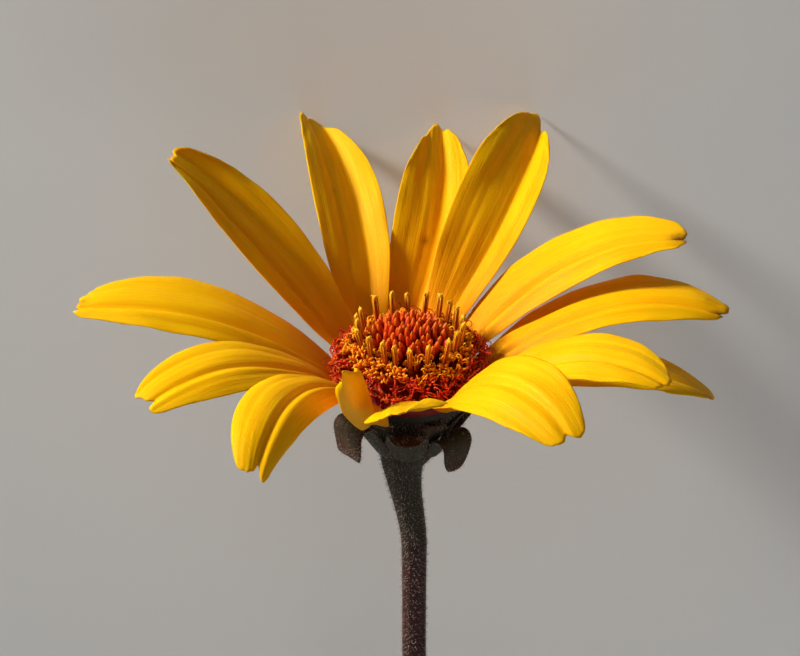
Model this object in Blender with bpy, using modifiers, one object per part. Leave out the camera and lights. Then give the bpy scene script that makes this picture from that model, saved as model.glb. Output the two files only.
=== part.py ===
"""A yellow daisy with a domed orange disc, cut with its stem and laid down on a flat surface.

The flower is modelled round its own axis: +Z points out of its face, and its origin is the middle of
the plane where the petals start. One empty then lays it down, so that it rests on the cut end of its
stem and on the tips of two petals, with its face towards -Y.
"""

import math
import random
from collections import namedtuple

import bmesh
import bpy
from mathutils import Euler, Matrix, Vector

MM = 0.001
SEED = 7

# How the flower lies: its axis rises by LEAN from the surface, and it is turned by SPIN about that axis.
LEAN = 14.1
SPIN = -2.73
HEAD_PLACE = (-0.91, -36.36, 25.56)

# Stem and receptacle, in millimetres below and above the plane of the petals.
STEM_END = -100.0
STEM_RADIUS = 1.4
STEM_FLARE = 1.14
FLARE_REACH = 4.3
NECK = -10.3
NECK_REACH = 12.0
NECK_ASIDE = -0.7
STEM_ASIDE = 1.3
BOW_START = -30.0
BOW_ASIDE = 2.4
BOW_BACK = -1.2
STEM_STATIONS = (STEM_END, -90, -80, -70, -60, -50, -40, BOW_START, -24, -19, -15.5, -13, -11, -9)
RECEPTACLE_RADIUS = 6.7
RECEPTACLE_TOP = 0.2
RECEPTACLE_PROFILE = (
    (0.0, -9.2),
    (2.2, -8.8),
    (3.2, -8.2),
    (3.3, -7.0),
    (3.7, -6.0),
    (4.6, -4.4),
    (5.7, -2.8),
    (6.5, -1.8),
    (RECEPTACLE_RADIUS, -1.2),
    (RECEPTACLE_RADIUS, RECEPTACLE_TOP),
    (0.0, RECEPTACLE_TOP),
)

# Petals: where they start, how they widen, and the three lobes at their tips.
PETAL_COUNT = 14
FIRST_PETAL = 118.0
PETAL_START = 7.3
PETAL_THICKNESS = 0.6
SETTLED = 0.22
START_RISE = 38.0
BASE_SHARE = 0.28
TIP_SHARE = 0.62
WIDEST = 0.58
WIDENING = 0.95
NARROWING = 2.4
TIP_START = 0.6
TIP_POWER = 1.5
NOTCH = 0.7
CORNER_DROP = 3.0
GROOVE = 0.10
GROOVE_GROWN = 0.3
ACROSS = (-1.0, -0.68, -0.36, 0.0, 0.36, 0.68, 1.0)
RELIEF = (0.0, 0.4, -1.0, 0.5, -1.0, 0.4, 0.0)
STATIONS = 11
SUBSTEPS = 4

# Lean is a petal's turn away from straight outwards, and bend its further turn towards the tip. Rise is
# the slope near the base, and droop what the slope loses by the tip. Cup is positive with edges up.
Petal = namedtuple("Petal", "lean bend length width rise droop power roll twist cup lift lobes")
PETALS = (
    Petal(-23, 20, 30.5, 9.0, 43, 30, 2.0, 0, 5, 55, -0.4, (0.2, -0.9, -2.0)),
    Petal(-30.5, 32, 28.2, 9.0, 41, 17, 2.0, 12, 0, 42, -1.3, (-1.4, 0.4, -0.2)),
    Petal(-15, 22, 31.5, 9.6, 40, 36, 2.0, 16, 0, 54, 1.0, (-1.2, -0.3, -2.0)),
    Petal(-10, -48, 30.0, 9.0, 42, 42, 1.6, 9, -2, -4, 0.2, (-1.0, -0.6, 0.2)),
    Petal(0, -26, 30.0, 8.4, 36, 58, 1.6, 3, 5, -8, -0.7, (-1.4, 0.0, 0.2)),
    Petal(14, 4, 29.0, 8.0, 18, 66, 1.6, 2, -3, -7, -1.5, (0.0, -0.8, -1.6)),
    Petal(23, -24, 27.0, 8.6, 47, 68, 1.6, 18, -17, -4, -0.3, (-1.0, 0.0, 0.0)),
    Petal(7, 2, 26.0, 8.8, 52, 93, 1.6, 25, 0, 0, 0.6, (0.0, -0.8, -0.4)),
    Petal(-8, 0, 23.2, 8.8, 36, 14, 1.6, 13, 4, -26, 0.5, (-0.6, 0.0, -0.3)),
    Petal(21.5, -17, 23.5, 5.8, 45, -2, 1.6, 99, -60, 117, -1.7, (-3.8, 0.2, -3.0)),
    Petal(6, 36, 26.5, 7.6, 33, 76, 1.8, -14, -12, -42, 0.9, (0.6, -0.6, -0.3)),
    Petal(16, 6, 27.0, 8.4, 38, 66, 1.6, -9, -2, -11, -0.2, (0.2, -0.8, 0.0)),
    Petal(10, 5, 31.6, 9.7, 37, 50, 1.6, -7, 0, -12, -0.9, (0.6, -0.8, -2.0)),
    Petal(-5, 36, 30.5, 9.6, 44, 4, 1.6, -11, -6, 40, 0.6, (0.2, -1.2, -0.6)),
)

# Bracts of the cup under the petals: the inner ones hug the receptacle, and the outer ones follow the cup
# up to their bend and lose droop degrees of slope there. Past 100 degrees a bract hangs back down.
# Bend and over are the shares of a bract's length where the bend starts and how far it goes on.
BRACT_THICKNESS = 0.6
BRACT_GAP = 0.35
BRACT_STATIONS = 8
BRACT_ACROSS = (-1.0, -0.5, 0.0, 0.5, 1.0)
BRACT_ROOT_SHARE = 0.66
INNER_ROOT = -6.4
INNER_TOP = -2.1
INNER_WIDTH = 4.3
INNER_TIP = 0.45
INNER_TURN = -68.0
OUTER_START = (3.95, -8.0)
OUTER_SLOPE = 57.0
OUTER_CURL = 0.42
Bract = namedtuple("Bract", "azimuth length width bend over droop tip")
OUTER_BRACTS = (
    Bract(-92, 7.6, 4.5, 0.62, 0.3, 62, 0.3),
    Bract(-45, 8.5, 4.3, 0.36, 0.3, 150, 0.25),
    Bract(4, 10.5, 4.5, 0.42, 0.4, 104, 0.2),
    Bract(58, 8.5, 4.6, 0.55, 0.3, 60, 0.3),
    Bract(112, 9.0, 4.6, 0.5, 0.4, 82, 0.3),
    Bract(166, 8.0, 4.6, 0.6, 0.3, 50, 0.3),
    Bract(221, 10.8, 4.6, 0.5, 0.24, 148, 0.75),
)

# Disc: three rings of florets, each on its own small core. The whole disc sits a little to one side.
DISC_SHIFT = (-0.3, 0.0, 0.0)
CORE_FLOOR = 0.5
BUD_COUNT = 58
BUD_FIELD = 4.1
BUD_RADIUS = 0.54
BUD_TIP_RADIUS = 0.27
BUD_ROOT_SHARE = 0.9
BUD_TIP_SHARE = 1.08
BUD_PROUD = 1.7
ROOTED = 0.5
FLORET_SIDES = 5
DOME_TOP = 7.9
DOME_FALL = 2.4
BUD_CORE_RADIUS = 3.9
OPEN_CORE = ((4.2, 0.5), (5.5, 0.5), (5.5, 3.4), (5.1, 4.0), (4.5, 4.0), (4.2, 3.7))
SPENT_CORE = ((5.8, 0.5), (6.7, 0.5), (6.7, 1.7), (6.3, 2.4), (5.8, 2.4))
ANTHER_COUNT = 20
ANTHER_FOOT = (5.0, 3.2)
ANTHER_TOP = (5.7, 7.3)
ANTHER_STRAY = 0.5
ANTHER_RADIUS = 0.32
ANTHER_SIDES = 6
HOOD_RADIUS = 0.42
HOOD_TIP_RADIUS = 0.26
HOOD_HEIGHT = 0.5
HOOD_OVERLAP = 0.1
GOLDEN_ANGLE = math.pi * (3 - math.sqrt(5))

# A ring of florets: how many, from where in the core to where their mouths open, and their radii.
Ring = namedtuple("Ring", "count root mouth foot_radius mouth_radius")
OPEN_RINGS = (
    Ring(20, (4.8, 3.1), (6.2, 5.1), 0.42, 0.62),
    Ring(25, (5.0, 2.9), (7.2, 4.8), 0.42, 0.60),
)
SPENT_RINGS = (
    Ring(26, (6.1, 1.8), (7.9, 3.4), 0.36, 0.50),
    Ring(32, (6.3, 1.4), (8.8, 3.1), 0.34, 0.46),
)
LOW_RING = Ring(36, (6.35, 0.95), (7.7, 1.5), 0.30, 0.38)
LOW_REACH = 18.0
RING_STRAY = 0.3
CURLED_PETAL = -122.0
CURLED_ROOM = 7.0

# Styles that bend outwards over every second floret of the outermost ring: their foot, knee and tip are so
# far out from the floret's mouth and so far above it.
STYLE_TURN = 0.15
STYLE_FOOT = (-0.3, -0.2)
STYLE_KNEE = (0.1, 0.5)
STYLE_TIP = (0.7, 0.6)
STYLE_TWIST = 0.05
STYLE_RADIUS = 0.2
STYLE_TIP_RADIUS = 0.14
STYLE_SIDES = 4
STYLE_OVERLAP = 0.2

YELLOW = (0.86, 0.46, 0.01, 1.0)
BRACT_GREEN = (0.045, 0.04, 0.02, 1.0)
STEM_PURPLE = (0.07, 0.025, 0.02, 1.0)
BUD_ORANGE = (0.55, 0.07, 0.01, 1.0)
FLORET_GOLD = (0.80, 0.30, 0.02, 1.0)
SPENT_RED = (0.30, 0.02, 0.01, 1.0)


def clear_scene():
    for item in list(bpy.data.objects):
        bpy.data.objects.remove(item, do_unlink=True)


def finish_of(name, colour, roughness):
    material = bpy.data.materials.new(name)
    material.use_nodes = True
    shader = material.node_tree.nodes["Principled BSDF"]
    shader.inputs["Base Color"].default_value = colour
    shader.inputs["Roughness"].default_value = roughness
    shader.inputs["Metallic"].default_value = 0.0
    return material


def smooth(value):
    value = min(1.0, max(0.0, value))
    return value * value * (3 - 2 * value)


def along(keys, values, place):
    """The value at a place among keys, eased from each key to the next."""
    for low, high, start, end in zip(keys, keys[1:], values, values[1:]):
        if place <= high:
            return start + (end - start) * smooth((place - low) / (high - low))
    return values[-1]


def add_object(name, mesh, material, collection, parent):
    item = bpy.data.objects.new(name, mesh)
    collection.objects.link(item)
    item.data.materials.append(material)
    item.parent = parent
    return item


def mesh_from_bmesh(name, shape):
    mesh = bpy.data.meshes.new(name)
    shape.to_mesh(mesh)
    shape.free()
    return mesh


def blade_mesh(name, rows):
    """An open sheet through rows of points in millimetres, split into triangles."""
    sheet = bmesh.new()
    grid = [[sheet.verts.new(point * MM) for point in row] for row in rows]
    for near, far in zip(grid, grid[1:]):
        for left in range(len(near) - 1):
            sheet.faces.new((near[left], far[left], far[left + 1], near[left + 1]))
    bmesh.ops.triangulate(sheet, faces=sheet.faces[:])
    return mesh_from_bmesh(name, sheet)


def thicken(item, thickness):
    solid = item.modifiers.new("Thickness", "SOLIDIFY")
    solid.thickness = thickness * MM
    solid.offset = 0.0


def width_share(s):
    """A petal's width at a place along it, as a share of its widest."""
    if s < WIDEST:
        return BASE_SHARE + (1 - BASE_SHARE) * math.sin(math.pi / 2 * s / WIDEST) ** WIDENING
    return 1 - (1 - TIP_SHARE) * ((s - WIDEST) / (1 - WIDEST)) ** NARROWING


def tip_reach(petal, across):
    """How far the tip stands forward or back at a place across it: three lobes and two notches."""
    left, middle, right = petal.lobes
    reach = (
        right - CORNER_DROP,
        right,
        min(right, middle) - NOTCH,
        middle,
        min(left, middle) - NOTCH,
        left,
        left - CORNER_DROP,
    )
    return along(ACROSS, reach, across)


def petal_rows(petal):
    """Rows of points from base to tip, in the petal's own frame: +X outwards and +Z up."""
    rows = []
    middle = Vector((0, 0, 0))
    steps = STATIONS * SUBSTEPS
    for index in range(steps + 1):
        s = index / steps
        settled = smooth(s / SETTLED)
        heading = math.radians(petal.lean + petal.bend * s) * settled
        own_rise = petal.rise - petal.droop * s**petal.power
        rise = math.radians(START_RISE + (own_rise - START_RISE) * settled)
        roll = math.radians(petal.roll + petal.twist * s) * settled
        turn = Matrix.Rotation(heading, 3, "Z") @ Matrix.Rotation(-rise, 3, "Y") @ Matrix.Rotation(roll, 3, "X")
        forward, side, up = turn.col
        if index % SUBSTEPS == 0:
            rows.append(petal_row(petal, s, settled, middle, forward, side, up))
        middle = middle + forward * (petal.length / steps)
    return rows


def petal_row(petal, s, settled, middle, forward, side, up):
    half = petal.width / 2 * width_share(s)
    curl = math.radians(petal.cup) * (0.5 + 0.5 * s) * settled
    tip_part = max(0.0, (s - TIP_START) / (1 - TIP_START)) ** TIP_POWER
    row = []
    for across in ACROSS:
        reach = half * across
        lift = 0.0
        if abs(curl) > 1e-4:
            reach = half * math.sin(curl * across) / curl
            lift = half * (1 - math.cos(curl * across)) / curl
        lift += GROOVE * half * along(ACROSS, RELIEF, across) * min(1.0, s / GROOVE_GROWN)
        row.append(middle + side * reach + up * lift + forward * (tip_reach(petal, across) * tip_part))
    return row


def make_petals(collection, parent):
    material = finish_of("petal yellow", YELLOW, 0.5)
    for index, petal in enumerate(PETALS):
        azimuth = math.radians(FIRST_PETAL - index * 360 / PETAL_COUNT)
        mesh = blade_mesh("petal", petal_rows(petal))
        item = add_object(f"petal_{index + 1:02d}", mesh, material, collection, parent)
        place = Vector((PETAL_START * math.cos(azimuth), PETAL_START * math.sin(azimuth), petal.lift))
        item.location = place * MM
        item.rotation_euler = Euler((0, 0, azimuth))
        thicken(item, PETAL_THICKNESS)


def stem_centre(z):
    """The stem's middle at a height: it leaves the neck a little to one side and bows gently below."""
    neck = smooth((NECK - z) / NECK_REACH)
    below = max(0.0, (BOW_START - z) / (BOW_START - STEM_END))
    aside = NECK_ASIDE + STEM_ASIDE * neck + BOW_ASIDE * below**2
    return Vector((aside, BOW_BACK * math.sin(math.pi * below), z))


def stem_radius(z):
    return STEM_RADIUS + STEM_FLARE * math.exp((z - NECK) / FLARE_REACH)


def plain_mesh(item):
    """Turns an object into the mesh that its modifiers or its curve make."""
    bpy.context.view_layer.update()
    graph = bpy.context.evaluated_depsgraph_get()
    mesh = bpy.data.meshes.new_from_object(item.evaluated_get(graph))
    shape = bmesh.new()
    shape.from_mesh(mesh)
    bmesh.ops.remove_doubles(shape, verts=shape.verts[:], dist=1e-6)
    shape.to_mesh(mesh)
    shape.free()
    return mesh


def turned(name, profile, steps, collection):
    """A solid turned about Z from a profile of radius and height in millimetres."""
    outline = bmesh.new()
    verts = [outline.verts.new((radius * MM, 0, z * MM)) for radius, z in profile]
    for first, second in zip(verts, verts[1:]):
        outline.edges.new((first, second))
    if profile[0][0] > 0:
        outline.edges.new((verts[-1], verts[0]))
    item = bpy.data.objects.new(name, mesh_from_bmesh(name, outline))
    collection.objects.link(item)
    screw = item.modifiers.new("Turn", "SCREW")
    screw.steps = steps
    screw.render_steps = steps
    screw.use_merge_vertices = True
    screw.merge_threshold = 0.00001
    mesh = plain_mesh(item)
    item.modifiers.clear()
    item.data = mesh
    recalculate_outwards(mesh)
    return item


def recalculate_outwards(mesh):
    shape = bmesh.new()
    shape.from_mesh(mesh)
    bmesh.ops.recalc_face_normals(shape, faces=shape.faces[:])
    shape.to_mesh(mesh)
    shape.free()


def fuse(core, pieces, parent):
    """Joins the pieces to the core in one body, leaves only the core, and hangs it on its parent."""
    group = bpy.data.collections.new(core.name + " pieces")
    bpy.context.scene.collection.children.link(group)
    for piece in pieces:
        group.objects.link(piece)
    union = core.modifiers.new("Union", "BOOLEAN")
    union.operation = "UNION"
    union.operand_type = "COLLECTION"
    union.collection = group
    union.solver = "MANIFOLD"
    mesh = plain_mesh(core)
    core.modifiers.clear()
    core.data = mesh
    for piece in pieces:
        bpy.data.objects.remove(piece, do_unlink=True)
    bpy.data.collections.remove(group)
    core.parent = parent


def make_stem(collection, parent):
    material = finish_of("stem purple", STEM_PURPLE, 0.7)
    receptacle = turned("stem", RECEPTACLE_PROFILE[::-1], 20, collection)
    receptacle.data.materials.append(material)

    curve = bpy.data.curves.new("stem tube", "CURVE")
    curve.dimensions = "3D"
    curve.bevel_depth = MM
    curve.bevel_resolution = 4
    curve.use_fill_caps = True
    line = curve.splines.new("POLY")
    line.points.add(len(STEM_STATIONS) - 1)
    for point, z in zip(line.points, STEM_STATIONS):
        point.co = (*(stem_centre(z) * MM), 1)
        point.radius = stem_radius(z)
    guide = bpy.data.objects.new("stem tube", curve)
    collection.objects.link(guide)
    mesh = plain_mesh(guide)
    recalculate_outwards(mesh)
    bpy.data.objects.remove(guide, do_unlink=True)
    tube = bpy.data.objects.new("stem tube", mesh)
    fuse(receptacle, [tube], parent)


def flank_radius(z):
    """The receptacle's radius at a height on its outer side."""
    side = RECEPTACLE_PROFILE[1:-1]
    for (low_radius, low), (high_radius, high) in zip(side, side[1:]):
        if z <= high:
            return low_radius + (high_radius - low_radius) * max(0.0, (z - low) / (high - low))
    return RECEPTACLE_RADIUS


def leaf_share(s, tip):
    """A bract's width from root to tip, as a share: wide in the middle, and tip of it left at the end."""
    if s < 0.5:
        return BRACT_ROOT_SHARE + (1 - BRACT_ROOT_SHARE) * math.sin(math.pi * s)
    return tip + (1 - tip) * math.sqrt(max(0.0, 1 - ((s - 0.5) / 0.5) ** 2.2))


def inner_bract_rows():
    """Rows of points of a bract that hugs the receptacle, in its own frame: +X outwards."""
    rows = []
    stations = BRACT_STATIONS // 2
    for station in range(stations + 1):
        s = station / stations
        z = INNER_ROOT + (INNER_TOP - INNER_ROOT) * s
        radius = flank_radius(z) + BRACT_GAP + BRACT_THICKNESS / 2
        half = INNER_WIDTH / 2 * leaf_share(s, INNER_TIP) / radius
        rows.append([ringed(radius, half * across, z) for across in BRACT_ACROSS])
    return rows


def outer_bract_rows(bract):
    """Rows of points of a bract that follows the cup at first and then bends outwards."""
    rows = []
    middle = Vector((OUTER_START[0], 0, OUTER_START[1]))
    steps = BRACT_STATIONS * SUBSTEPS
    for index in range(steps + 1):
        s = index / steps
        rise = math.radians(OUTER_SLOPE - bract.droop * smooth((s - bract.bend) / bract.over))
        forward = Vector((math.cos(rise), 0, math.sin(rise)))
        up = Vector((-math.sin(rise), 0, math.cos(rise)))
        if index % SUBSTEPS == 0:
            half = bract.width / 2 * leaf_share(s, bract.tip)
            curl = OUTER_CURL * (1.2 - s)
            rows.append(
                [
                    middle
                    + Vector((0, half * math.sin(curl * across) / curl, 0))
                    + up * (half * (1 - math.cos(curl * across)) / curl)
                    for across in BRACT_ACROSS
                ]
            )
        middle = middle + forward * (bract.length / steps)
    return rows


def make_bracts(collection, parent):
    material = finish_of("bract green", BRACT_GREEN, 0.6)
    count = len(OUTER_BRACTS)
    for index in range(count):
        mesh = blade_mesh("inner bract", inner_bract_rows())
        item = add_object(f"inner_bract_{index + 1}", mesh, material, collection, parent)
        item.rotation_euler = Euler((0, 0, math.radians(INNER_TURN + index * 360 / count)))
        thicken(item, BRACT_THICKNESS)
    for index, bract in enumerate(OUTER_BRACTS):
        mesh = blade_mesh("outer bract", outer_bract_rows(bract))
        item = add_object(f"outer_bract_{index + 1}", mesh, material, collection, parent)
        item.rotation_euler = Euler((0, 0, math.radians(bract.azimuth)))
        thicken(item, BRACT_THICKNESS)


def ringed(radius, azimuth, z):
    return Vector((radius * math.cos(azimuth), radius * math.sin(azimuth), z))


def cone_between(start, end, start_radius, end_radius, sides):
    """A closed cone or prism between two points in millimetres."""
    way = end - start
    shape = bmesh.new()
    bmesh.ops.create_cone(
        shape,
        cap_ends=True,
        segments=sides,
        radius1=start_radius * MM,
        radius2=end_radius * MM,
        depth=way.length * MM,
    )
    turn = way.to_track_quat("Z", "Y").to_matrix().to_4x4()
    place = Matrix.Translation((start + end) / 2 * MM) @ turn
    bmesh.ops.transform(shape, matrix=place, verts=shape.verts[:])
    return bpy.data.objects.new("floret", mesh_from_bmesh("floret", shape))


def dome_height(radius):
    return DOME_TOP - DOME_FALL * (radius / (BUD_CORE_RADIUS + BUD_RADIUS)) ** 2


def make_buds(collection, parent):
    """Closed buds in a spiral, each leaning out a little from the dome that it grows on."""
    profile = [(0.0, dome_height(0) - BUD_PROUD)]
    profile += [(radius, dome_height(radius) - BUD_PROUD) for radius in (1.3, 2.5, BUD_CORE_RADIUS)]
    profile += [(BUD_CORE_RADIUS, CORE_FLOOR), (0.0, CORE_FLOOR)]
    core = turned("disc_buds", profile, 18, collection)
    core.data.materials.append(finish_of("bud orange", BUD_ORANGE, 0.5))
    buds = []
    for index in range(BUD_COUNT):
        radius = BUD_FIELD * math.sqrt((index + 0.4) / BUD_COUNT)
        azimuth = index * GOLDEN_ANGLE
        root = ringed(radius * BUD_ROOT_SHARE, azimuth, dome_height(radius) - BUD_PROUD - ROOTED)
        tip = ringed(radius * BUD_TIP_SHARE, azimuth, dome_height(radius))
        buds.append(cone_between(root, tip, BUD_RADIUS, BUD_TIP_RADIUS, FLORET_SIDES))
    fuse(core, buds, parent)
    core.location = Vector(DISC_SHIFT) * MM


def petal_lift(azimuth):
    """The lift of the highest petal near an azimuth in radians."""
    lifts = []
    for index, petal in enumerate(PETALS):
        away = (math.degrees(azimuth) - FIRST_PETAL + index * 360 / PETAL_COUNT + 180) % 360 - 180
        if abs(away) < LOW_REACH:
            lifts.append(petal.lift)
    return max(lifts)


def by_curled_petal(azimuth):
    """Whether an azimuth in radians is beside the raised edge of the front petal that curls up."""
    away = (math.degrees(azimuth) - CURLED_PETAL + 180) % 360 - 180
    return abs(away) < CURLED_ROOM


def ring_of_florets(ring, draw, over_petals=False):
    """A ring of florets, with their mouths at one height or each a little over the petals beside it."""
    florets = []
    for index in range(ring.count):
        azimuth = 2 * math.pi * (index + RING_STRAY * draw.random()) / ring.count
        if ring == SPENT_RINGS[-1] and by_curled_petal(azimuth):
            continue
        raised = petal_lift(azimuth) if over_petals else 0.0
        start = ringed(ring.root[0], azimuth, ring.root[1])
        end = ringed(ring.mouth[0], azimuth, ring.mouth[1] + raised)
        florets.append(cone_between(start, end, ring.foot_radius, ring.mouth_radius, FLORET_SIDES))
    return florets


def make_open_florets(collection, parent):
    draw = random.Random(SEED)
    core = turned("open_florets", OPEN_CORE, 24, collection)
    core.data.materials.append(finish_of("floret gold", FLORET_GOLD, 0.5))
    pieces = []
    for ring in OPEN_RINGS:
        pieces += ring_of_florets(ring, draw)
    for index in range(ANTHER_COUNT):
        azimuth = 2 * math.pi * (index + 0.5) / ANTHER_COUNT
        foot = ringed(ANTHER_FOOT[0], azimuth, ANTHER_FOOT[1])
        top = ringed(ANTHER_TOP[0], azimuth, ANTHER_TOP[1] + ANTHER_STRAY * draw.random())
        hood_foot = top - Vector((0, 0, HOOD_OVERLAP))
        hood_tip = top + Vector((0, 0, HOOD_HEIGHT))
        pieces.append(cone_between(foot, top, ANTHER_RADIUS, ANTHER_RADIUS, ANTHER_SIDES))
        pieces.append(cone_between(hood_foot, hood_tip, HOOD_RADIUS, HOOD_TIP_RADIUS, ANTHER_SIDES))
    fuse(core, pieces, parent)
    core.location = Vector(DISC_SHIFT) * MM


def make_spent_florets(collection, parent):
    draw = random.Random(SEED + 1)
    core = turned("spent_florets", SPENT_CORE, 28, collection)
    core.data.materials.append(finish_of("spent red", SPENT_RED, 0.6))
    pieces = []
    for ring in SPENT_RINGS:
        pieces += ring_of_florets(ring, draw)
    pieces += ring_of_florets(LOW_RING, draw, over_petals=True)
    outermost = SPENT_RINGS[-1]
    radius, height = outermost.mouth
    for index in range(0, outermost.count, 2):
        azimuth = 2 * math.pi * (index + STYLE_TURN) / outermost.count
        if by_curled_petal(azimuth):
            continue
        foot = ringed(radius + STYLE_FOOT[0], azimuth, height + STYLE_FOOT[1])
        knee = ringed(radius + STYLE_KNEE[0], azimuth, height + STYLE_KNEE[1])
        tip = ringed(radius + STYLE_TIP[0], azimuth + STYLE_TWIST, height + STYLE_TIP[1])
        pieces.append(cone_between(foot, knee, STYLE_RADIUS, STYLE_RADIUS, STYLE_SIDES))
        start = knee.lerp(foot, STYLE_OVERLAP)
        pieces.append(cone_between(start, tip, STYLE_RADIUS, STYLE_TIP_RADIUS, STYLE_SIDES))
    fuse(core, pieces, parent)
    core.location = Vector(DISC_SHIFT) * MM


def main():
    clear_scene()
    collection = bpy.data.collections.new("daisy flower")
    bpy.context.scene.collection.children.link(collection)
    lying = bpy.data.objects.new("lying flower", None)
    lying.location = Vector(HEAD_PLACE) * MM
    lying.rotation_euler = Euler((math.radians(LEAN - 90), 0, math.pi))
    collection.objects.link(lying)
    flower = bpy.data.objects.new("flower axis", None)
    flower.rotation_euler = Euler((0, 0, math.radians(SPIN)))
    flower.parent = lying
    collection.objects.link(flower)
    make_stem(collection, flower)
    make_petals(collection, flower)
    make_bracts(collection, flower)
    make_buds(collection, flower)
    make_open_florets(collection, flower)
    make_spent_florets(collection, flower)


main()
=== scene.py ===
"""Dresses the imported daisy: fine petals, a hairy stem and cup, and a disc of buds and florets.

Everything is worked out round the flower's own axis, in millimetres, with +Z out of its face and the
middle of the plane where the petals start as its origin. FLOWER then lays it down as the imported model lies.
"""

import math
import random
from collections import namedtuple

import bpy
import numpy as np
from mathutils import Euler, Matrix, Vector, noise


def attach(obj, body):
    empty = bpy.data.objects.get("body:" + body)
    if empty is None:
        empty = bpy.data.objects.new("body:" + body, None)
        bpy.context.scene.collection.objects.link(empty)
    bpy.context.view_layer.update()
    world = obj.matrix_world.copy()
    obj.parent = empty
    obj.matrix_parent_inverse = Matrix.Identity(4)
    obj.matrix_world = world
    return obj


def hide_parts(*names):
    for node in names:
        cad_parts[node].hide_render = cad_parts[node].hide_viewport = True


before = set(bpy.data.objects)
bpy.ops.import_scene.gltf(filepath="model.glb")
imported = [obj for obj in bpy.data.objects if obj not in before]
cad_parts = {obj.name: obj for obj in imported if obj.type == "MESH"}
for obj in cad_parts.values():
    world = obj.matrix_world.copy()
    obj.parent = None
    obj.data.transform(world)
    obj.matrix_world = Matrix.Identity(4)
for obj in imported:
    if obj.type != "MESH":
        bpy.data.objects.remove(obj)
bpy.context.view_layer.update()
scene = bpy.context.scene

MM = 0.001
SEED = 11
BODY = "root"

# How the flower lies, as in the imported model.
LEAN = 14.1
SPIN = -2.73
HEAD_PLACE = (-0.91, -36.36, 25.56)
FLOWER = (
    Matrix.Translation(Vector(HEAD_PLACE) * MM)
    @ Euler((math.radians(LEAN - 90), 0, math.pi)).to_matrix().to_4x4()
    @ Matrix.Rotation(math.radians(SPIN), 4, "Z")
)

# The photograph's camera round the same axis: its distance, its height over the plane of the petals,
# and how far the middle of the frame is from the origin.
CAMERA_DISTANCE = 380.0
CAMERA_RISE = 31.0
CAMERA_ASIDE = (-0.97, 5.4)
FRAME_WIDTH = 86.4
SENSOR_WIDTH = 36.0

# Petals: where they start, how they widen, and the three lobes at their tips.
PETAL_COUNT = 14
FIRST_PETAL = 118.0
PETAL_START = 7.3
SETTLED = 0.22
START_RISE = 38.0
BASE_SHARE = 0.28
TIP_SHARE = 0.62
WIDEST = 0.58
LOBE_PLACE = 0.68
TIP_GAIN = -0.05
NOTCH_WIDTH = 0.11
GROOVE = 0.1
GROOVE_WIDTH = 0.16
GROOVE_WANDER = 0.1
RIDGE = 0.6
SIDE_GROOVE = 0.35
SIDE_GROOVE_APART = 0.75
SPINE_STEPS = 44
PETAL_ROWS = 64
PETAL_COLUMNS = 65
PETAL_THICKNESS = 0.34
VEIN_COUNT = 9
VEIN_DEPTH = 0.012
PUCKER_DEPTH = 0.16
RUFFLE_DEPTH = 0.24
RAGGED_DEPTH = 0.25

# Each petal's main fold, from petal 1 on: how far left of its middle it runs, the depth of its notch in
# millimetres and of its groove as a share, and how far the corners of the tip fall back in millimetres.
Fold = namedtuple("Fold", "place notch groove taper")
FOLDS = (
    Fold(0.35, 0.3, 0.4, 3.0),
    Fold(-0.3, 0.4, 0.35, 3.2),
    Fold(-0.42, 0.8, 0.35, 3.6),
    Fold(-0.3, 0.9, 1.6, 3.5),
    Fold(-0.35, 0.8, 1.4, 4.2),
    Fold(-0.3, 0.3, 0.5, 4.6),
    Fold(-0.25, 0.35, 1.0, 2.8),
    Fold(0.05, 0.5, 1.0, 3.2),
    Fold(0.3, 0.3, 0.5, 4.0),
    Fold(0.3, 0.0, 0.4, 3.0),
    Fold(0.2, 1.1, 1.2, 3.0),
    Fold(0.2, 1.0, 1.2, 3.2),
    Fold(0.4, 0.5, 1.3, 3.4),
    Fold(0.4, 0.8, 1.4, 4.0),
)

# Petals with a crease along their right side: how far from the middle it runs, and its share of the curl.
# The panel on its left turns one way and the flap on its right the other, each by a share of the curl.
Crease = namedtuple("Crease", "place share")
NO_CREASE = Crease(0.0, 0.0)
CREASES = {1: Crease(0.28, 0.9), 2: Crease(0.2, 0.9), 3: Crease(0.32, 0.9), 14: Crease(0.45, 0.9)}
PANEL_TURN = 0.6
FLAP_TURN = 0.85
CREASE_WIDTH = 0.2

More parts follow.
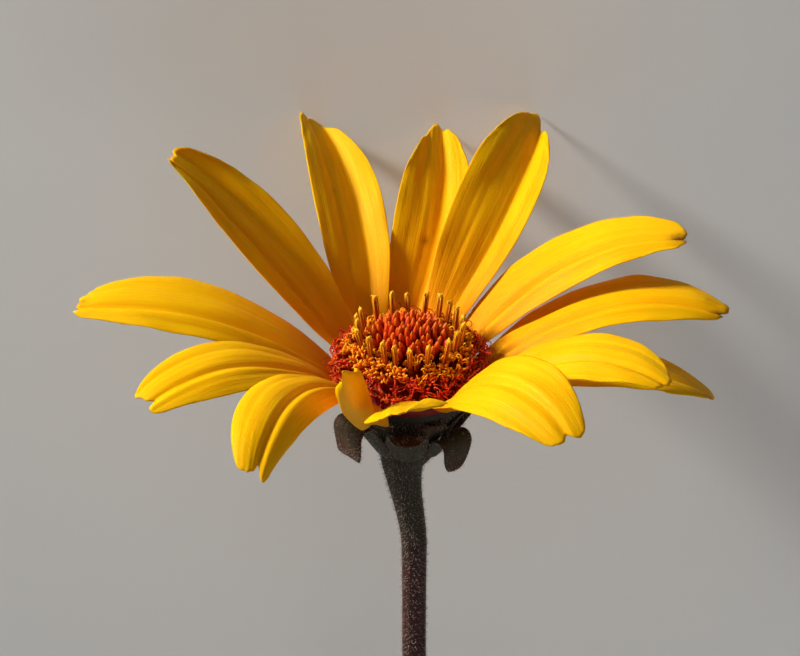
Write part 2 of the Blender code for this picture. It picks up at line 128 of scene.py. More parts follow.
# Lean is a petal's turn away from straight outwards, and bend its further turn towards the tip. Rise is
# the slope near the base, and droop what the slope loses by the tip. Cup is positive with edges up.
Petal = namedtuple("Petal", "lean bend length width rise droop power roll twist cup lift lobes")
PETALS = (
    Petal(-23, 20, 30.5, 9.0, 43, 30, 2.0, 0, 5, 55, -0.4, (0.2, -0.9, -2.0)),
    Petal(-30.5, 32, 28.2, 9.0, 41, 17, 2.0, 12, 0, 42, -1.3, (-1.4, 0.4, -0.2)),
    Petal(-15, 22, 31.5, 9.6, 40, 36, 2.0, 16, 0, 54, 1.0, (-1.2, -0.3, -2.0)),
    Petal(-10, -48, 30.0, 9.0, 42, 42, 1.6, 9, -2, -4, 0.2, (-1.0, -0.6, 0.2)),
    Petal(0, -26, 30.0, 8.4, 36, 58, 1.6, 3, 5, -8, -0.7, (-1.4, 0.0, 0.2)),
    Petal(14, 4, 29.0, 8.0, 18, 66, 1.6, 2, -3, -7, -1.5, (0.0, -0.8, -1.6)),
    Petal(23, -24, 27.0, 8.6, 47, 68, 1.6, 18, -17, -4, -0.3, (-1.0, 0.0, 0.0)),
    Petal(7, 2, 26.0, 8.8, 52, 93, 1.6, 25, 0, 0, 0.6, (0.0, -0.8, -0.4)),
    Petal(-8, 0, 23.2, 8.8, 36, 14, 1.6, 13, 4, -26, 0.5, (-0.6, 0.0, -0.3)),
    Petal(21.5, -17, 23.5, 5.8, 45, -2, 1.6, 99, -60, 117, -1.7, (-3.8, 0.2, -3.0)),
    Petal(6, 36, 26.5, 7.6, 33, 76, 1.8, -14, -12, -42, 0.9, (0.6, -0.6, -0.3)),
    Petal(16, 6, 27.0, 8.4, 38, 66, 1.6, -9, -2, -11, -0.2, (0.2, -0.8, 0.0)),
    Petal(10, 5, 31.6, 9.7, 37, 50, 1.6, -7, 0, -12, -0.9, (0.6, -0.8, -2.0)),
    Petal(-5, 36, 30.5, 9.6, 44, 4, 1.6, -11, -6, 40, 0.6, (0.2, -1.2, -0.6)),
)

# Browned places: the petal's number, how far along and across it they are, their radius and their depth.
Blemish = namedtuple("Blemish", "petal along across radius depth")
BLEMISHES = (
    Blemish(2, 0.47, 0.1, 0.5, 0.5),
    Blemish(1, 0.62, 0.3, 0.3, 0.35),
    Blemish(4, 0.985, -0.25, 1.4, 1.1),
    Blemish(5, 0.99, -0.35, 1.1, 0.9),
    Blemish(5, 0.93, 0.15, 1.3, 0.4),
    Blemish(6, 0.99, -0.4, 0.8, 0.7),
    Blemish(14, 0.99, 0.7, 0.8, 0.7),
    Blemish(13, 0.99, 0.1, 0.6, 0.6),
    Blemish(10, 0.97, 0.2, 0.5, 0.4),
)

# Stem and receptacle, in millimetres below and above the plane of the petals.
STEM_END = -100.0
STEM_RADIUS = 1.4
STEM_FLARE = 1.14
FLARE_REACH = 4.3
NECK = -10.3
RECEPTACLE_FLANK = (
    (3.26, -8.2),
    (3.3, -7.0),
    (3.7, -6.0),
    (4.6, -4.4),
    (5.7, -2.8),
    (6.5, -1.8),
    (6.7, -1.2),
    (6.7, 0.2),
)
STEM_SIDES = 40
STEM_RIBS = 9
STEM_RIB_DEPTH = 0.035
STEM_KNOBBLE = 0.05
CUT_LIP = 0.35

# Bracts of the cup under the petals.
BRACT_THICKNESS = 0.42
BRACT_ROWS = 30
BRACT_COLUMNS = 25
CAD_BRACT_THICKNESS = 0.6
BRACT_GAP = 0.35
BRACT_ROOT_SHARE = 0.66
BRACT_STEPS = 32
INNER_ROOT = -6.4
INNER_TOP = -2.1
INNER_WIDTH = 4.3
INNER_TURN = -68.0
OUTER_START = (3.95, -8.0)
OUTER_SLOPE = 57.0
OUTER_CURL = 0.42
Bract = namedtuple("Bract", "azimuth length width bend over droop tip")
OUTER_BRACTS = (
    Bract(-92, 7.6, 4.5, 0.62, 0.3, 62, 0.3),
    Bract(-45, 8.5, 4.3, 0.36, 0.3, 150, 0.25),
    Bract(4, 10.5, 4.5, 0.42, 0.4, 104, 0.2),
    Bract(58, 8.5, 4.6, 0.55, 0.3, 60, 0.3),
    Bract(112, 9.0, 4.6, 0.5, 0.4, 82, 0.3),
    Bract(166, 8.0, 4.6, 0.6, 0.3, 50, 0.3),
    Bract(221, 10.8, 4.6, 0.5, 0.24, 148, 0.75),
)

# Disc: buds on a dome, a ring of pollen columns, and rings of open and spent florets round them.
DISC_SHIFT = Matrix.Translation(Vector((0.1, 0.0, 0.0)) * MM)
CORE_FLOOR = 0.5
BUD_COUNT = 92
BUD_FIELD = 3.75
BUD_PROUD = 2.1
DOME_TOP = 7.7
DOME_FALL = 2.2
DOME_REACH = 4.0
GOLDEN_ANGLE = math.pi * (3 - math.sqrt(5))
OPEN_CORE = ((4.1, 0.5), (5.8, 0.5), (5.9, 2.4), (5.4, 3.1), (4.7, 3.3), (3.9, 3.1))
SPENT_CORE = ((5.8, 0.5), (6.4, -0.4), (7.4, -0.3), (7.4, 0.5), (6.9, 1.3), (6.4, 2.0), (5.8, 2.3))

# A ring of florets: how many, from where their feet stand to where their mouths open, how far they stray
# and lean, and their smallest and largest size as shares.
Ring = namedtuple("Ring", "count foot mouth stray lean smallest largest")
ANTHER_RING = Ring(20, (5.1, 3.3), (5.9, 8.1), 0.6, 0.07, 0.9, 1.06)
OPEN_RINGS = (
    Ring(26, (4.4, 3.2), (4.9, 5.6), 0.7, 0.25, 0.85, 1.05),
    Ring(30, (5.1, 3.1), (6.3, 5.4), 0.7, 0.3, 0.9, 1.1),
    Ring(34, (5.7, 2.8), (7.4, 4.8), 0.7, 0.3, 0.9, 1.1),
)
SPENT_RINGS = (
    Ring(34, (6.2, 2.3), (7.9, 4.1), 0.7, 0.3, 0.9, 1.1),
    Ring(40, (6.6, 1.8), (9.0, 3.4), 0.7, 0.3, 0.95, 1.15),
)
LOW_RING = Ring(46, (6.9, 1.0), (8.8, 1.8), 0.7, 0.25, 0.75, 0.95)
STYLE_RING = Ring(15, (6.9, 2.6), (9.4, 4.8), 0.9, 0.5, 0.8, 1.2)
LOW_REACH = 18.0


def smooth(value):
    value = min(1.0, max(0.0, value))
    return value * value * (3 - 2 * value)


def along(keys, values, place):
    """The value at a place among keys, eased from each key to the next."""
    for low, high, start, end in zip(keys, keys[1:], values, values[1:]):
        if place <= high:
            return start + (end - start) * smooth((place - low) / (high - low))
    return values[-1]


def between(pairs, place):
    """The first number of pairs at a place among their second numbers, in straight steps."""
    for (low_value, low), (high_value, high) in zip(pairs, pairs[1:]):
        if place <= high:
            return low_value + (high_value - low_value) * max(0.0, (place - low) / (high - low))
    return pairs[-1][0]


def ringed(radius, azimuth, z):
    return Vector((radius * math.cos(azimuth), radius * math.sin(azimuth), z))


# Shapes as lists of points and faces, with values for each point that the finishes read.
Shape = namedtuple("Shape", "points faces values")


def shell(grid, thickness, values):
    """A closed thin body round a sheet of points in rows from its root to its tip."""
    rows, columns, _ = grid.shape
    facing = np.cross(np.gradient(grid, axis=0), np.gradient(grid, axis=1))
    facing /= np.maximum(np.linalg.norm(facing, axis=2, keepdims=True), 1e-9)
    offset = facing * thickness[..., None] / 2
    points = np.concatenate(((grid + offset).reshape(-1, 3), (grid - offset).reshape(-1, 3)))
    count = rows * columns
    faces = []
    for row in range(rows - 1):
        for column in range(columns - 1):
            near = row * columns + column
            far = near + columns
            faces.append((near, far, far + 1, near + 1))
            faces.append((count + near + 1, count + far + 1, count + far, count + near))
    rim = [row * columns for row in range(rows)]
    rim += [(rows - 1) * columns + column for column in range(1, columns)]
    rim += [row * columns + columns - 1 for row in range(rows - 2, -1, -1)]
    rim += list(range(columns - 2, 0, -1))
    for start, end in zip(rim, rim[1:] + rim[:1]):
        faces.append((count + start, count + end, end, start))
    return Shape(points, faces, {name: np.tile(part.reshape(-1), 2) for name, part in values.items()})


def skin(rings, tips):
    """A closed skin over rings of points, drawn together to a point at each end."""
    sides = len(rings[0])
    points = [point for ring in rings for point in ring]
    levels = [tip for tip in tips for _ in range(sides)]
    faces = []
    for low in range(0, len(points) - sides, sides):
        for side in range(sides):
            after = (side + 1) % sides
            faces.append((low + side, low + after, low + after + sides, low + side + sides))
    last = len(points) - sides
    for side in range(sides):
        after = (side + 1) % sides
        faces.append((len(points), after, side))
        faces.append((len(points) + 1, last + side, last + after))
    points += [sum(ring, Vector()) / sides for ring in (rings[0], rings[-1])]
    return Shape(points, faces, {"tip": levels + [tips[0], tips[-1]]})


def lathe(profile, sides, tips, ribs=0, depth=0.0):
    """A body turned about Z from a profile of radius and height, with ribs of a depth round it."""
    rings = []
    for radius, z in profile:
        ring = []
        for side in range(sides):
            turn = 2 * math.pi * side / sides
            ring.append(ringed(radius * (1 + depth * math.cos(ribs * turn)), turn, z))
        rings.append(ring)
    return skin(rings, tips)


def thread(path, radii, sides, tips):
    """A thin round body along a path, as thick as its radii say."""
    rings = []
    across = (path[1] - path[0]).orthogonal()
    for index, point in enumerate(path):
        ahead = (path[min(index + 1, len(path) - 1)] - path[max(index - 1, 0)]).normalized()
        across = (across - ahead * across.dot(ahead)).normalized()
        beside = ahead.cross(across)
        turns = [2 * math.pi * side / sides for side in range(sides)]
        rings.append([point + (across * math.cos(turn) + beside * math.sin(turn)) * radii[index] for turn in turns])
    return skin(rings, tips)


def mesh_of(name, shapes):
    """One mesh of several shapes that are given in millimetres."""
    points, faces = [], []
    values = {key: [] for key in shapes[0].values}
    for shape in shapes:
        start = len(points)
        points += [Vector(point) * MM for point in shape.points]
        faces += [[start + corner for corner in face] for face in shape.faces]
        for key in values:
            values[key] += list(shape.values[key])
    mesh = bpy.data.meshes.new(name)
    mesh.from_pydata(points, [], faces)
    for key, numbers in values.items():
        mesh.attributes.new(key, "FLOAT", "POINT").data.foreach_set("value", numbers)
    return mesh


def add_piece(name, mesh, slot, *nodes):
    """A finished piece from a mesh that lies in its place, riding on the flower's one body."""
    mesh.polygons.foreach_set("use_smooth", [True] * len(mesh.polygons))
    piece = bpy.data.objects.new(name, mesh)
    scene.collection.objects.link(piece)
    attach(piece, BODY)
    if nodes:
        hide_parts(*nodes)
    return piece


# Node trees, for shapes and for finishes alike.
def node(tree, kind, inputs=None, **settings):
    """A node with its settings, and its inputs linked to sockets or set to values."""
    made = tree.nodes.new(kind)
    for key, value in settings.items():
        setattr(made, key, value)
    for key, value in (inputs or {}).items():
        if isinstance(value, bpy.types.NodeSocket):
            tree.links.new(value, made.inputs[key])
        else:
            made.inputs[key].default_value = value
    return made


def calc(tree, operation, *values):
    return node(tree, "ShaderNodeMath", dict(enumerate(values)), operation=operation).outputs[0]


def vector_calc(tree, operation, *values):
    return node(tree, "ShaderNodeVectorMath", dict(enumerate(values)), operation=operation).outputs[0]


def start_tree(name, sockets):
    """A tree that takes geometry and named sizes and gives geometry."""
    tree = bpy.data.node_groups.new(name, "GeometryNodeTree")
    tree.interface.new_socket(name="Geometry", in_out="INPUT", socket_type="NodeSocketGeometry")
    for label, kind in sockets:
        tree.interface.new_socket(name=label, in_out="INPUT", socket_type="NodeSocket" + kind)
    tree.interface.new_socket(name="Geometry", in_out="OUTPUT", socket_type="NodeSocketGeometry")
    asked = tree.nodes.new("NodeGroupInput").outputs
    given = tree.nodes.new("NodeGroupOutput").inputs[0]
    return tree, asked, given


def chance(tree, low, high, seed, draw):
    """A random number for each point; draw tells one use from another."""
    seeded = calc(tree, "ADD", seed, draw)
    return node(tree, "FunctionNodeRandomValue", {2: low, 3: high, 8: seeded}).outputs[1]


def stray_vector(tree, reach, seed, draw):
    """A random vector for each point, as long as reach at most along each axis."""
    low = calc(tree, "MULTIPLY", reach, -1.0)
    seeded = calc(tree, "ADD", seed, draw)
    drawn = node(tree, "FunctionNodeRandomValue", {0: low, 1: reach, 8: seeded}, data_type="FLOAT_VECTOR")
    return drawn.outputs[0]


def on_ring(tree, radius, azimuth, z):
    x = calc(tree, "MULTIPLY", radius, calc(tree, "COSINE", azimuth))
    y = calc(tree, "MULTIPLY", radius, calc(tree, "SINE", azimuth))
    return node(tree, "ShaderNodeCombineXYZ", {0: x, 1: y, 2: z}).outputs[0]


def standing(tree, direction, seed):
    """A rotation that stands a shape along a direction, turned by chance about itself."""
    upright = node(tree, "FunctionNodeAlignRotationToVector", {"Vector": direction}, axis="Z").outputs[0]
    about = node(tree, "FunctionNodeAxisAngleToRotation", {0: (0, 0, 1), 1: chance(tree, 0.0, 2 * math.pi, seed, 7)})
    return node(tree, "FunctionNodeRotateRotation", {0: upright, 1: about.outputs[0]}, rotation_space="LOCAL").outputs[0]


def finished(tree, instances, seed, finish, given):
    """Gives each instance a tint of its own, makes all of them one mesh and puts the finish on it."""
    tinted = node(
        tree,
        "GeometryNodeStoreNamedAttribute",
        {"Geometry": instances, "Name": "tint", "Value": chance(tree, 0.0, 1.0, seed, 9)},
        data_type="FLOAT",
        domain="INSTANCE",
    )
    real = node(tree, "GeometryNodeRealizeInstances", {0: tinted.outputs[0]})
    coated = node(tree, "GeometryNodeSetMaterial", {"Geometry": real.outputs[0], "Material": finish})
    tree.links.new(coated.outputs[0], given)


def shapes_of(tree, collection):
    return node(
        tree,
        "GeometryNodeCollectionInfo",
        {"Collection": collection, "Separate Children": True, "Reset Children": True},
    ).outputs[0]


def make_ring_tree():
    """Stands shapes round a ring: their feet on one circle, leaning towards a second, wider one."""
    tree, asked, given = start_tree(
        "floret ring",
        (
            ("Foot radius", "Float"),
            ("Foot height", "Float"),
            ("Mouth radius", "Float"),
            ("Mouth height", "Float"),
            ("Stray", "Float"),
            ("Lean", "Float"),
            ("Smallest", "Float"),
            ("Largest", "Float"),
            ("Seed", "Int"),
            ("Shapes", "Collection"),
            ("Finish", "Material"),
        ),
    )
    seed = asked["Seed"]
    count = node(tree, "GeometryNodeAttributeDomainSize", {0: asked["Geometry"]}).outputs["Point Count"]
    index = tree.nodes.new("GeometryNodeInputIndex").outputs[0]
    place = calc(tree, "ADD", index, chance(tree, 0.0, asked["Stray"], seed, 1))
    azimuth = calc(tree, "MULTIPLY", calc(tree, "DIVIDE", place, count), 2 * math.pi)
    raised = node(tree, "GeometryNodeInputNamedAttribute", {0: "raised"}, data_type="FLOAT").outputs[0]
    foot = on_ring(tree, asked["Foot radius"], azimuth, asked["Foot height"])
    mouth = on_ring(tree, asked["Mouth radius"], azimuth, calc(tree, "ADD", asked["Mouth height"], raised))
    way = vector_calc(tree, "NORMALIZE", vector_calc(tree, "SUBTRACT", mouth, foot))
    way = vector_calc(tree, "ADD", way, stray_vector(tree, asked["Lean"], seed, 2))
    points = node(tree, "GeometryNodeMeshToPoints", {"Mesh": asked["Geometry"]}).outputs[0]
    placed = node(tree, "GeometryNodeSetPosition", {"Geometry": points, "Position": foot}).outputs[0]
    planted = node(
        tree,
        "GeometryNodeInstanceOnPoints",
        {
            "Points": placed,
            "Instance": shapes_of(tree, asked["Shapes"]),
            "Pick Instance": True,
            "Rotation": standing(tree, way, seed),
            "Scale": chance(tree, asked["Smallest"], asked["Largest"], seed, 3),
        },
    )
    finished(tree, planted.outputs[0], seed, asked["Finish"], given)
    return tree


def make_spiral_tree():
    """Stands shapes in a golden-angle spiral over a dome, smaller towards its middle."""
    tree, asked, given = start_tree(
        "bud spiral",
        (
            ("Count", "Int"),
            ("Field", "Float"),
            ("Dome top", "Float"),
            ("Dome fall", "Float"),
            ("Dome reach", "Float"),
            ("Splay", "Float"),
            ("Lean", "Float"),
            ("Middle size", "Float"),
            ("Seed", "Int"),
            ("Shapes", "Collection"),
            ("Finish", "Material"),
        ),
    )
    seed = asked["Seed"]
    index = tree.nodes.new("GeometryNodeInputIndex").outputs[0]
    share = calc(tree, "SQRT", calc(tree, "DIVIDE", calc(tree, "ADD", index, 0.4), asked["Count"]))
    radius = calc(tree, "MULTIPLY", share, asked["Field"])
    azimuth = calc(tree, "MULTIPLY", index, GOLDEN_ANGLE)
    fallen = calc(tree, "POWER", calc(tree, "DIVIDE", radius, asked["Dome reach"]), 2.0)
    height = calc(tree, "SUBTRACT", asked["Dome top"], calc(tree, "MULTIPLY", fallen, asked["Dome fall"]))
    splayed = on_ring(tree, calc(tree, "MULTIPLY", share, asked["Splay"]), azimuth, 1.0)
    way = vector_calc(tree, "ADD", splayed, stray_vector(tree, asked["Lean"], seed, 2))
    size = node(tree, "ShaderNodeMapRange", {0: share, 3: asked["Middle size"], 4: 1.0}).outputs[0]
    size = calc(tree, "MULTIPLY", size, chance(tree, 0.92, 1.06, seed, 3))
    points = node(tree, "GeometryNodePoints", {"Count": asked["Count"], "Position": on_ring(tree, radius, azimuth, height)})
    planted = node(
        tree,
        "GeometryNodeInstanceOnPoints",
        {
            "Points": points.outputs[0],
            "Instance": shapes_of(tree, asked["Shapes"]),
            "Pick Instance": True,
            "Rotation": standing(tree, way, seed),
            "Scale": size,
        },
    )
    finished(tree, planted.outputs[0], seed, asked["Finish"], given)
    return tree


def make_hair_tree():
    """Plants hairs over a skin, as thick as its downy value says, and none close above the ground."""
    tree, asked, given = start_tree(
        "plant hair",
        (
            ("Density", "Float"),
            ("Shortest", "Float"),
            ("Longest", "Float"),
            ("Lean", "Float"),
            ("Clearance", "Float"),
            ("Seed", "Int"),
            ("Shapes", "Collection"),
            ("Finish", "Material"),
        ),
    )
    seed = asked["Seed"]
    downy = node(tree, "GeometryNodeInputNamedAttribute", {0: "downy"}, data_type="FLOAT").outputs[0]
    place = tree.nodes.new("GeometryNodeInputPosition").outputs[0]
    height = node(tree, "ShaderNodeSeparateXYZ", {0: place}).outputs[2]
    clear = calc(tree, "GREATER_THAN", height, asked["Clearance"])
    density = calc(tree, "MULTIPLY", calc(tree, "MULTIPLY", asked["Density"], downy), clear)
    spread = node(tree, "GeometryNodeDistributePointsOnFaces", {"Mesh": asked["Geometry"], "Density": density, "Seed": seed})
    way = vector_calc(tree, "ADD", spread.outputs["Normal"], stray_vector(tree, asked["Lean"], seed, 2))
    planted = node(
        tree,
        "GeometryNodeInstanceOnPoints",
        {
            "Points": spread.outputs["Points"],
            "Instance": shapes_of(tree, asked["Shapes"]),
            "Rotation": standing(tree, way, seed),
            "Scale": chance(tree, asked["Shortest"], asked["Longest"], seed, 3),
        },
    )
    finished(tree, planted.outputs[0], seed, asked["Finish"], given)
    return tree


def make_stem_tree():
    """Sweeps a ribbed skin along the stem's path, as wide as its girth value says."""
    tree, asked, given = start_tree(
        "stem sweep",
        (
            ("Sides", "Int"),
            ("Ribs", "Float"),
            ("Rib depth", "Float"),
            ("Knobble", "Float"),
            ("Finish", "Material"),
        ),
    )
    girth = node(tree, "GeometryNodeInputNamedAttribute", {0: "girth"}, data_type="FLOAT").outputs[0]
    path = node(tree, "GeometryNodeMeshToCurve", {0: asked["Geometry"]}).outputs[0]
    ring = node(tree, "GeometryNodeCurvePrimitiveCircle", {"Resolution": asked["Sides"], "Radius": 1.0}).outputs[0]
    turn = tree.nodes.new("GeometryNodeSplineParameter").outputs["Factor"]
    kept = tree.nodes.new("GeometryNodeCaptureAttribute")
    kept.capture_items.new("FLOAT", "Turn")
    tree.links.new(ring, kept.inputs["Geometry"])
    tree.links.new(turn, kept.inputs["Turn"])
    swept = node(
        tree,
        "GeometryNodeCurveToMesh",
        {"Curve": path, "Profile Curve": kept.outputs["Geometry"], "Scale": girth, "Fill Caps": True},
    ).outputs[0]
    wave = calc(tree, "COSINE", calc(tree, "MULTIPLY", kept.outputs["Turn"], calc(tree, "MULTIPLY", asked["Ribs"], 2 * math.pi)))
    ribbed = calc(tree, "MULTIPLY", wave, asked["Rib depth"])
    uneven = node(tree, "ShaderNodeTexNoise", {"Scale": 900.0, "Detail": 3.0}).outputs[0]
    knobbled = calc(tree, "MULTIPLY", calc(tree, "SUBTRACT", uneven, 0.6), asked["Knobble"])
    outward = tree.nodes.new("GeometryNodeInputNormal").outputs[0]
    moved = node(tree, "ShaderNodeVectorMath", {0: outward, "Scale": calc(tree, "ADD", ribbed, knobbled)}, operation="SCALE")
    shaped = node(tree, "GeometryNodeSetPosition", {"Geometry": swept, "Offset": moved.outputs[0]}).outputs[0]
    coated = node(tree, "GeometryNodeSetMaterial", {"Geometry": shaped, "Material": asked["Finish"]})
    tree.links.new(coated.outputs[0], given)
    return tree


def grow(tree, values, ground=None):
    """The plain mesh that a tree makes on a ground mesh, with its inputs set by their names."""
    host = bpy.data.objects.new("growth", ground or bpy.data.meshes.new("ground"))
    scene.collection.objects.link(host)
    growth = host.modifiers.new("Growth", "NODES")
    growth.node_group = tree
    for item in tree.interface.items_tree:
        if item.in_out == "INPUT" and item.name in values:
            growth[item.identifier] = values[item.name]
    graph = bpy.context.evaluated_depsgraph_get()
    mesh = bpy.data.meshes.new_from_object(host.evaluated_get(graph))
    host.modifiers.clear()
    bpy.data.objects.remove(host)
    return mesh


def store(name, meshes):
    """Keeps shapes out of sight in a collection of their own, for a tree to repeat."""
    kept = bpy.data.collections.new(name)
    for index, mesh in enumerate(meshes):
        kept.objects.link(bpy.data.objects.new(f"{name} {index}", mesh))
    return kept


# Finishes.
def mixed(tree, factor, first, second, blend="MIX"):
    made = node(tree, "ShaderNodeMix", {0: factor, 6: first, 7: second}, data_type="RGBA", blend_type=blend)
    return made.outputs[2]


def ramp(tree, factor, stops):
    """A colour that changes with a factor from stop to stop."""
    made = node(tree, "ShaderNodeValToRGB", {0: factor})
    elements = made.color_ramp.elements
    elements[0].position = stops[0][0]
    elements[0].color = (*stops[0][1], 1)
    elements[1].position = stops[-1][0]
    elements[1].color = (*stops[-1][1], 1)
    for place, colour in stops[1:-1]:
        elements.new(place).color = (*colour, 1)
    return made.outputs[0]


def value_of(tree, name):
    return node(tree, "ShaderNodeAttribute", attribute_name=name).outputs["Fac"]


def ranged(tree, value, low, high, start=0.0, end=1.0):
    return node(tree, "ShaderNodeMapRange", {0: value, 1: low, 2: high, 3: start, 4: end}).outputs[0]


def grain(tree, scale, detail=3.0, vector=None):
    """A cloudy value over the piece's own coordinates, or over a vector."""
    vector = vector or tree.nodes.new("ShaderNodeTexCoord").outputs["Object"]
    return node(tree, "ShaderNodeTexNoise", {"Vector": vector, "Scale": scale, "Detail": detail}).outputs[0]


def start_finish(name, **constants):
    """A new finish, with the values that are the same all over it set on its shader."""
    material = bpy.data.materials.new(name)
    material.use_nodes = True
    tree = material.node_tree
    shader = tree.nodes["Principled BSDF"]
    for key, value in constants.items():
        shader.inputs[key.replace("_", " ")].default_value = value
    return material, tree, shader


def wire(tree, shader, colour, roughness, relief, depth):
    """Links colour, roughness and a relief of a depth in metres to a finish's shader."""
    tree.links.new(colour, shader.inputs["Base Color"])
    tree.links.new(roughness, shader.inputs["Roughness"])
    bump = node(tree, "ShaderNodeBump", {"Height": relief, "Distance": depth, "Strength": 1.0})
    tree.links.new(bump.outputs[0], shader.inputs["Normal"])


def petal_finish():
    """Satin yellow, orange towards the base, with orange painted shade along each main groove and fine veins along the
    petal.
    """
    material, tree, shader = start_finish(
        "petal satin",
        Subsurface_Weight=0.3,
        Subsurface_Radius=(1.0, 0.35, 0.03),
        Subsurface_Scale=0.0004,
        Specular_IOR_Level=0.06,
    )
    place = value_of(tree, "along")
    across = value_of(tree, "across")
    streak = node(
        tree,
        "ShaderNodeCombineXYZ",
        {0: calc(tree, "MULTIPLY", across, 26.0), 1: calc(tree, "MULTIPLY", place, 2.2), 2: calc(tree, "MULTIPLY", value_of(tree, "number"), 5.0)},
    ).outputs[0]
    veins = grain(tree, 1.0, 4.0, streak)
    clouds = grain(tree, 170.0, 3.0)
    yellow = mixed(tree, ranged(tree, veins, 0.35, 0.68), (0.95, 0.52, 0.001, 1), (0.92, 0.42, 0.001, 1))
    yellow = mixed(tree, ranged(tree, clouds, 0.4, 0.75, 0.0, 0.3), yellow, (0.96, 0.57, 0.002, 1))
    # Painted shade: orange along each petal's main groove, where the crease is in shade, stronger towards the tip.
    groove = calc(tree, "MULTIPLY", value_of(tree, "painted_groove_shade"), ranged(tree, place, 0.15, 0.8, 0.0, 0.16))
    yellow = mixed(tree, groove, yellow, (0.8, 0.3, 0.001, 1))
    base = ranged(tree, calc(tree, "ADD", place, calc(tree, "MULTIPLY", veins, 0.12)), 0.1, 0.6, 0.8, 0.0)
    coloured = mixed(tree, base, yellow, (0.82, 0.25, 0.001, 1))
    worn = calc(tree, "MULTIPLY", value_of(tree, "worn"), ranged(tree, grain(tree, 1400.0, 4.0), 0.3, 0.6, 0.55, 1.0))
    coloured = mixed(tree, worn, coloured, (0.11, 0.03, 0.004, 1))
    pores = grain(tree, 3200.0, 2.0)
    relief = calc(tree, "ADD", calc(tree, "MULTIPLY", veins, 1.0), calc(tree, "MULTIPLY", pores, 0.35))
    wire(tree, shader, coloured, ranged(tree, clouds, 0.3, 0.7, 0.45, 0.6), relief, 0.00005)
    return material


def stem_finish():
    """Matte dark red-purple skin, greener under the cup, with pale specks."""
    material, tree, shader = start_finish("stem skin", Sheen_Weight=0.05, Specular_IOR_Level=0.25)
    along_stem = value_of(tree, "tip")
    fine = grain(tree, 2600.0, 4.0)
    clouds = grain(tree, 140.0, 4.0)
    purple = mixed(tree, ranged(tree, clouds, 0.35, 0.7), (0.05, 0.012, 0.01, 1), (0.03, 0.012, 0.009, 1))
    upper = ranged(tree, along_stem, 0.75, 0.82)
    body = mixed(tree, upper, purple, (0.032, 0.026, 0.014, 1))
    specks = calc(tree, "MULTIPLY", ranged(tree, fine, 0.6, 0.7, 0.0, 0.65), ranged(tree, upper, 0.0, 1.0, 1.0, 0.4))
    body = mixed(tree, specks, body, (0.27, 0.13, 0.11, 1))
    wire(tree, shader, body, ranged(tree, clouds, 0.3, 0.7, 0.6, 0.8), fine, 0.00012)
    return material


def cut_finish():
    """The pale wet pith of the cut end, greener towards its rim."""
    material, tree, shader = start_finish("cut pith")
    rim = value_of(tree, "tip")
    fine = grain(tree, 3000.0, 4.0)
    body = ramp(tree, rim, ((0.0, (0.12, 0.06, 0.03)), (0.25, (0.16, 0.2, 0.05)), (0.5, (0.4, 0.42, 0.2)), (1.0, (0.6, 0.56, 0.36))))
    body = mixed(tree, ranged(tree, fine, 0.4, 0.7, 0.0, 0.4), body, (0.3, 0.3, 0.14, 1))
    wire(tree, shader, body, ranged(tree, fine, 0.3, 0.7, 0.35, 0.6), fine, 0.0001)
    return material


def bract_finish():
    """Matte dark olive, brown-purple towards the edges, with a net of veins."""
    material, tree, shader = start_finish("bract leaf", Sheen_Weight=0.04, Specular_IOR_Level=0.25)
    place = value_of(tree, "along")
    across = calc(tree, "ABSOLUTE", value_of(tree, "across"))
    streak = node(
        tree,
        "ShaderNodeCombineXYZ",
        {0: calc(tree, "MULTIPLY", value_of(tree, "across"), 7.0), 1: calc(tree, "MULTIPLY", place, 2.0), 2: 0.5},
    ).outputs[0]
    veins = grain(tree, 1.0, 3.0, streak)
    fine = grain(tree, 1900.0, 4.0)
    olive = mixed(tree, ranged(tree, veins, 0.35, 0.65), (0.046, 0.044, 0.012, 1), (0.026, 0.024, 0.008, 1))
    edged = mixed(tree, ranged(tree, across, 0.5, 1.0, 0.0, 0.8), olive, (0.042, 0.014, 0.007, 1))
    tipped = mixed(tree, ranged(tree, place, 0.55, 1.0, 0.0, 0.75), edged, (0.075, 0.02, 0.007, 1))
    speckled = mixed(tree, ranged(tree, fine, 0.6, 0.75, 0.0, 0.4), tipped, (0.13, 0.1, 0.055, 1))
    relief = calc(tree, "ADD", veins, calc(tree, "MULTIPLY", fine, 0.4))
    wire(tree, shader, speckled, ranged(tree, fine, 0.3, 0.7, 0.55, 0.75), relief, 0.00025)
    return material


def hair_finish():
    """Stiff pale hairs."""
    material, tree, shader = start_finish("pale hair")
    body = mixed(tree, value_of(tree, "tint"), (0.3, 0.22, 0.18, 1), (0.6, 0.5, 0.42, 1))
    fine = grain(tree, 5000.0, 2.0)
    wire(tree, shader, body, ranged(tree, fine, 0.3, 0.7, 0.4, 0.6), fine, 0.00002)
    return material


def disc_finish(name, stops, warm, cool):
    """A disc part's finish: colours from foot to tip, shifted for each one between warm and cool."""
    material, tree, shader = start_finish(name, Specular_IOR_Level=0.22)
    fine = grain(tree, 2400.0, 3.0)
    level = calc(tree, "ADD", value_of(tree, "tip"), ranged(tree, fine, 0.3, 0.7, -0.09, 0.09))
    body = ramp(tree, level, stops)
    shifted = mixed(tree, value_of(tree, "tint"), (*warm, 1), (*cool, 1))
    body = mixed(tree, 0.7, body, mixed(tree, 1.0, body, shifted, "MULTIPLY"))
    wire(tree, shader, body, ranged(tree, fine, 0.3, 0.7, 0.42, 0.6), fine, 0.00008)
    return material


def floor_finish():
    """A plain pale matte floor, faintly mottled."""
    material, tree, shader = start_finish("pale floor")
    clouds = grain(tree, 9.0, 3.0)
    body = mixed(tree, clouds, (0.85, 0.85, 0.845, 1), (0.88, 0.88, 0.875, 1))
    wire(tree, shader, body, ranged(tree, clouds, 0.3, 0.7, 0.85, 0.95), clouds, 0.00001)
    return material


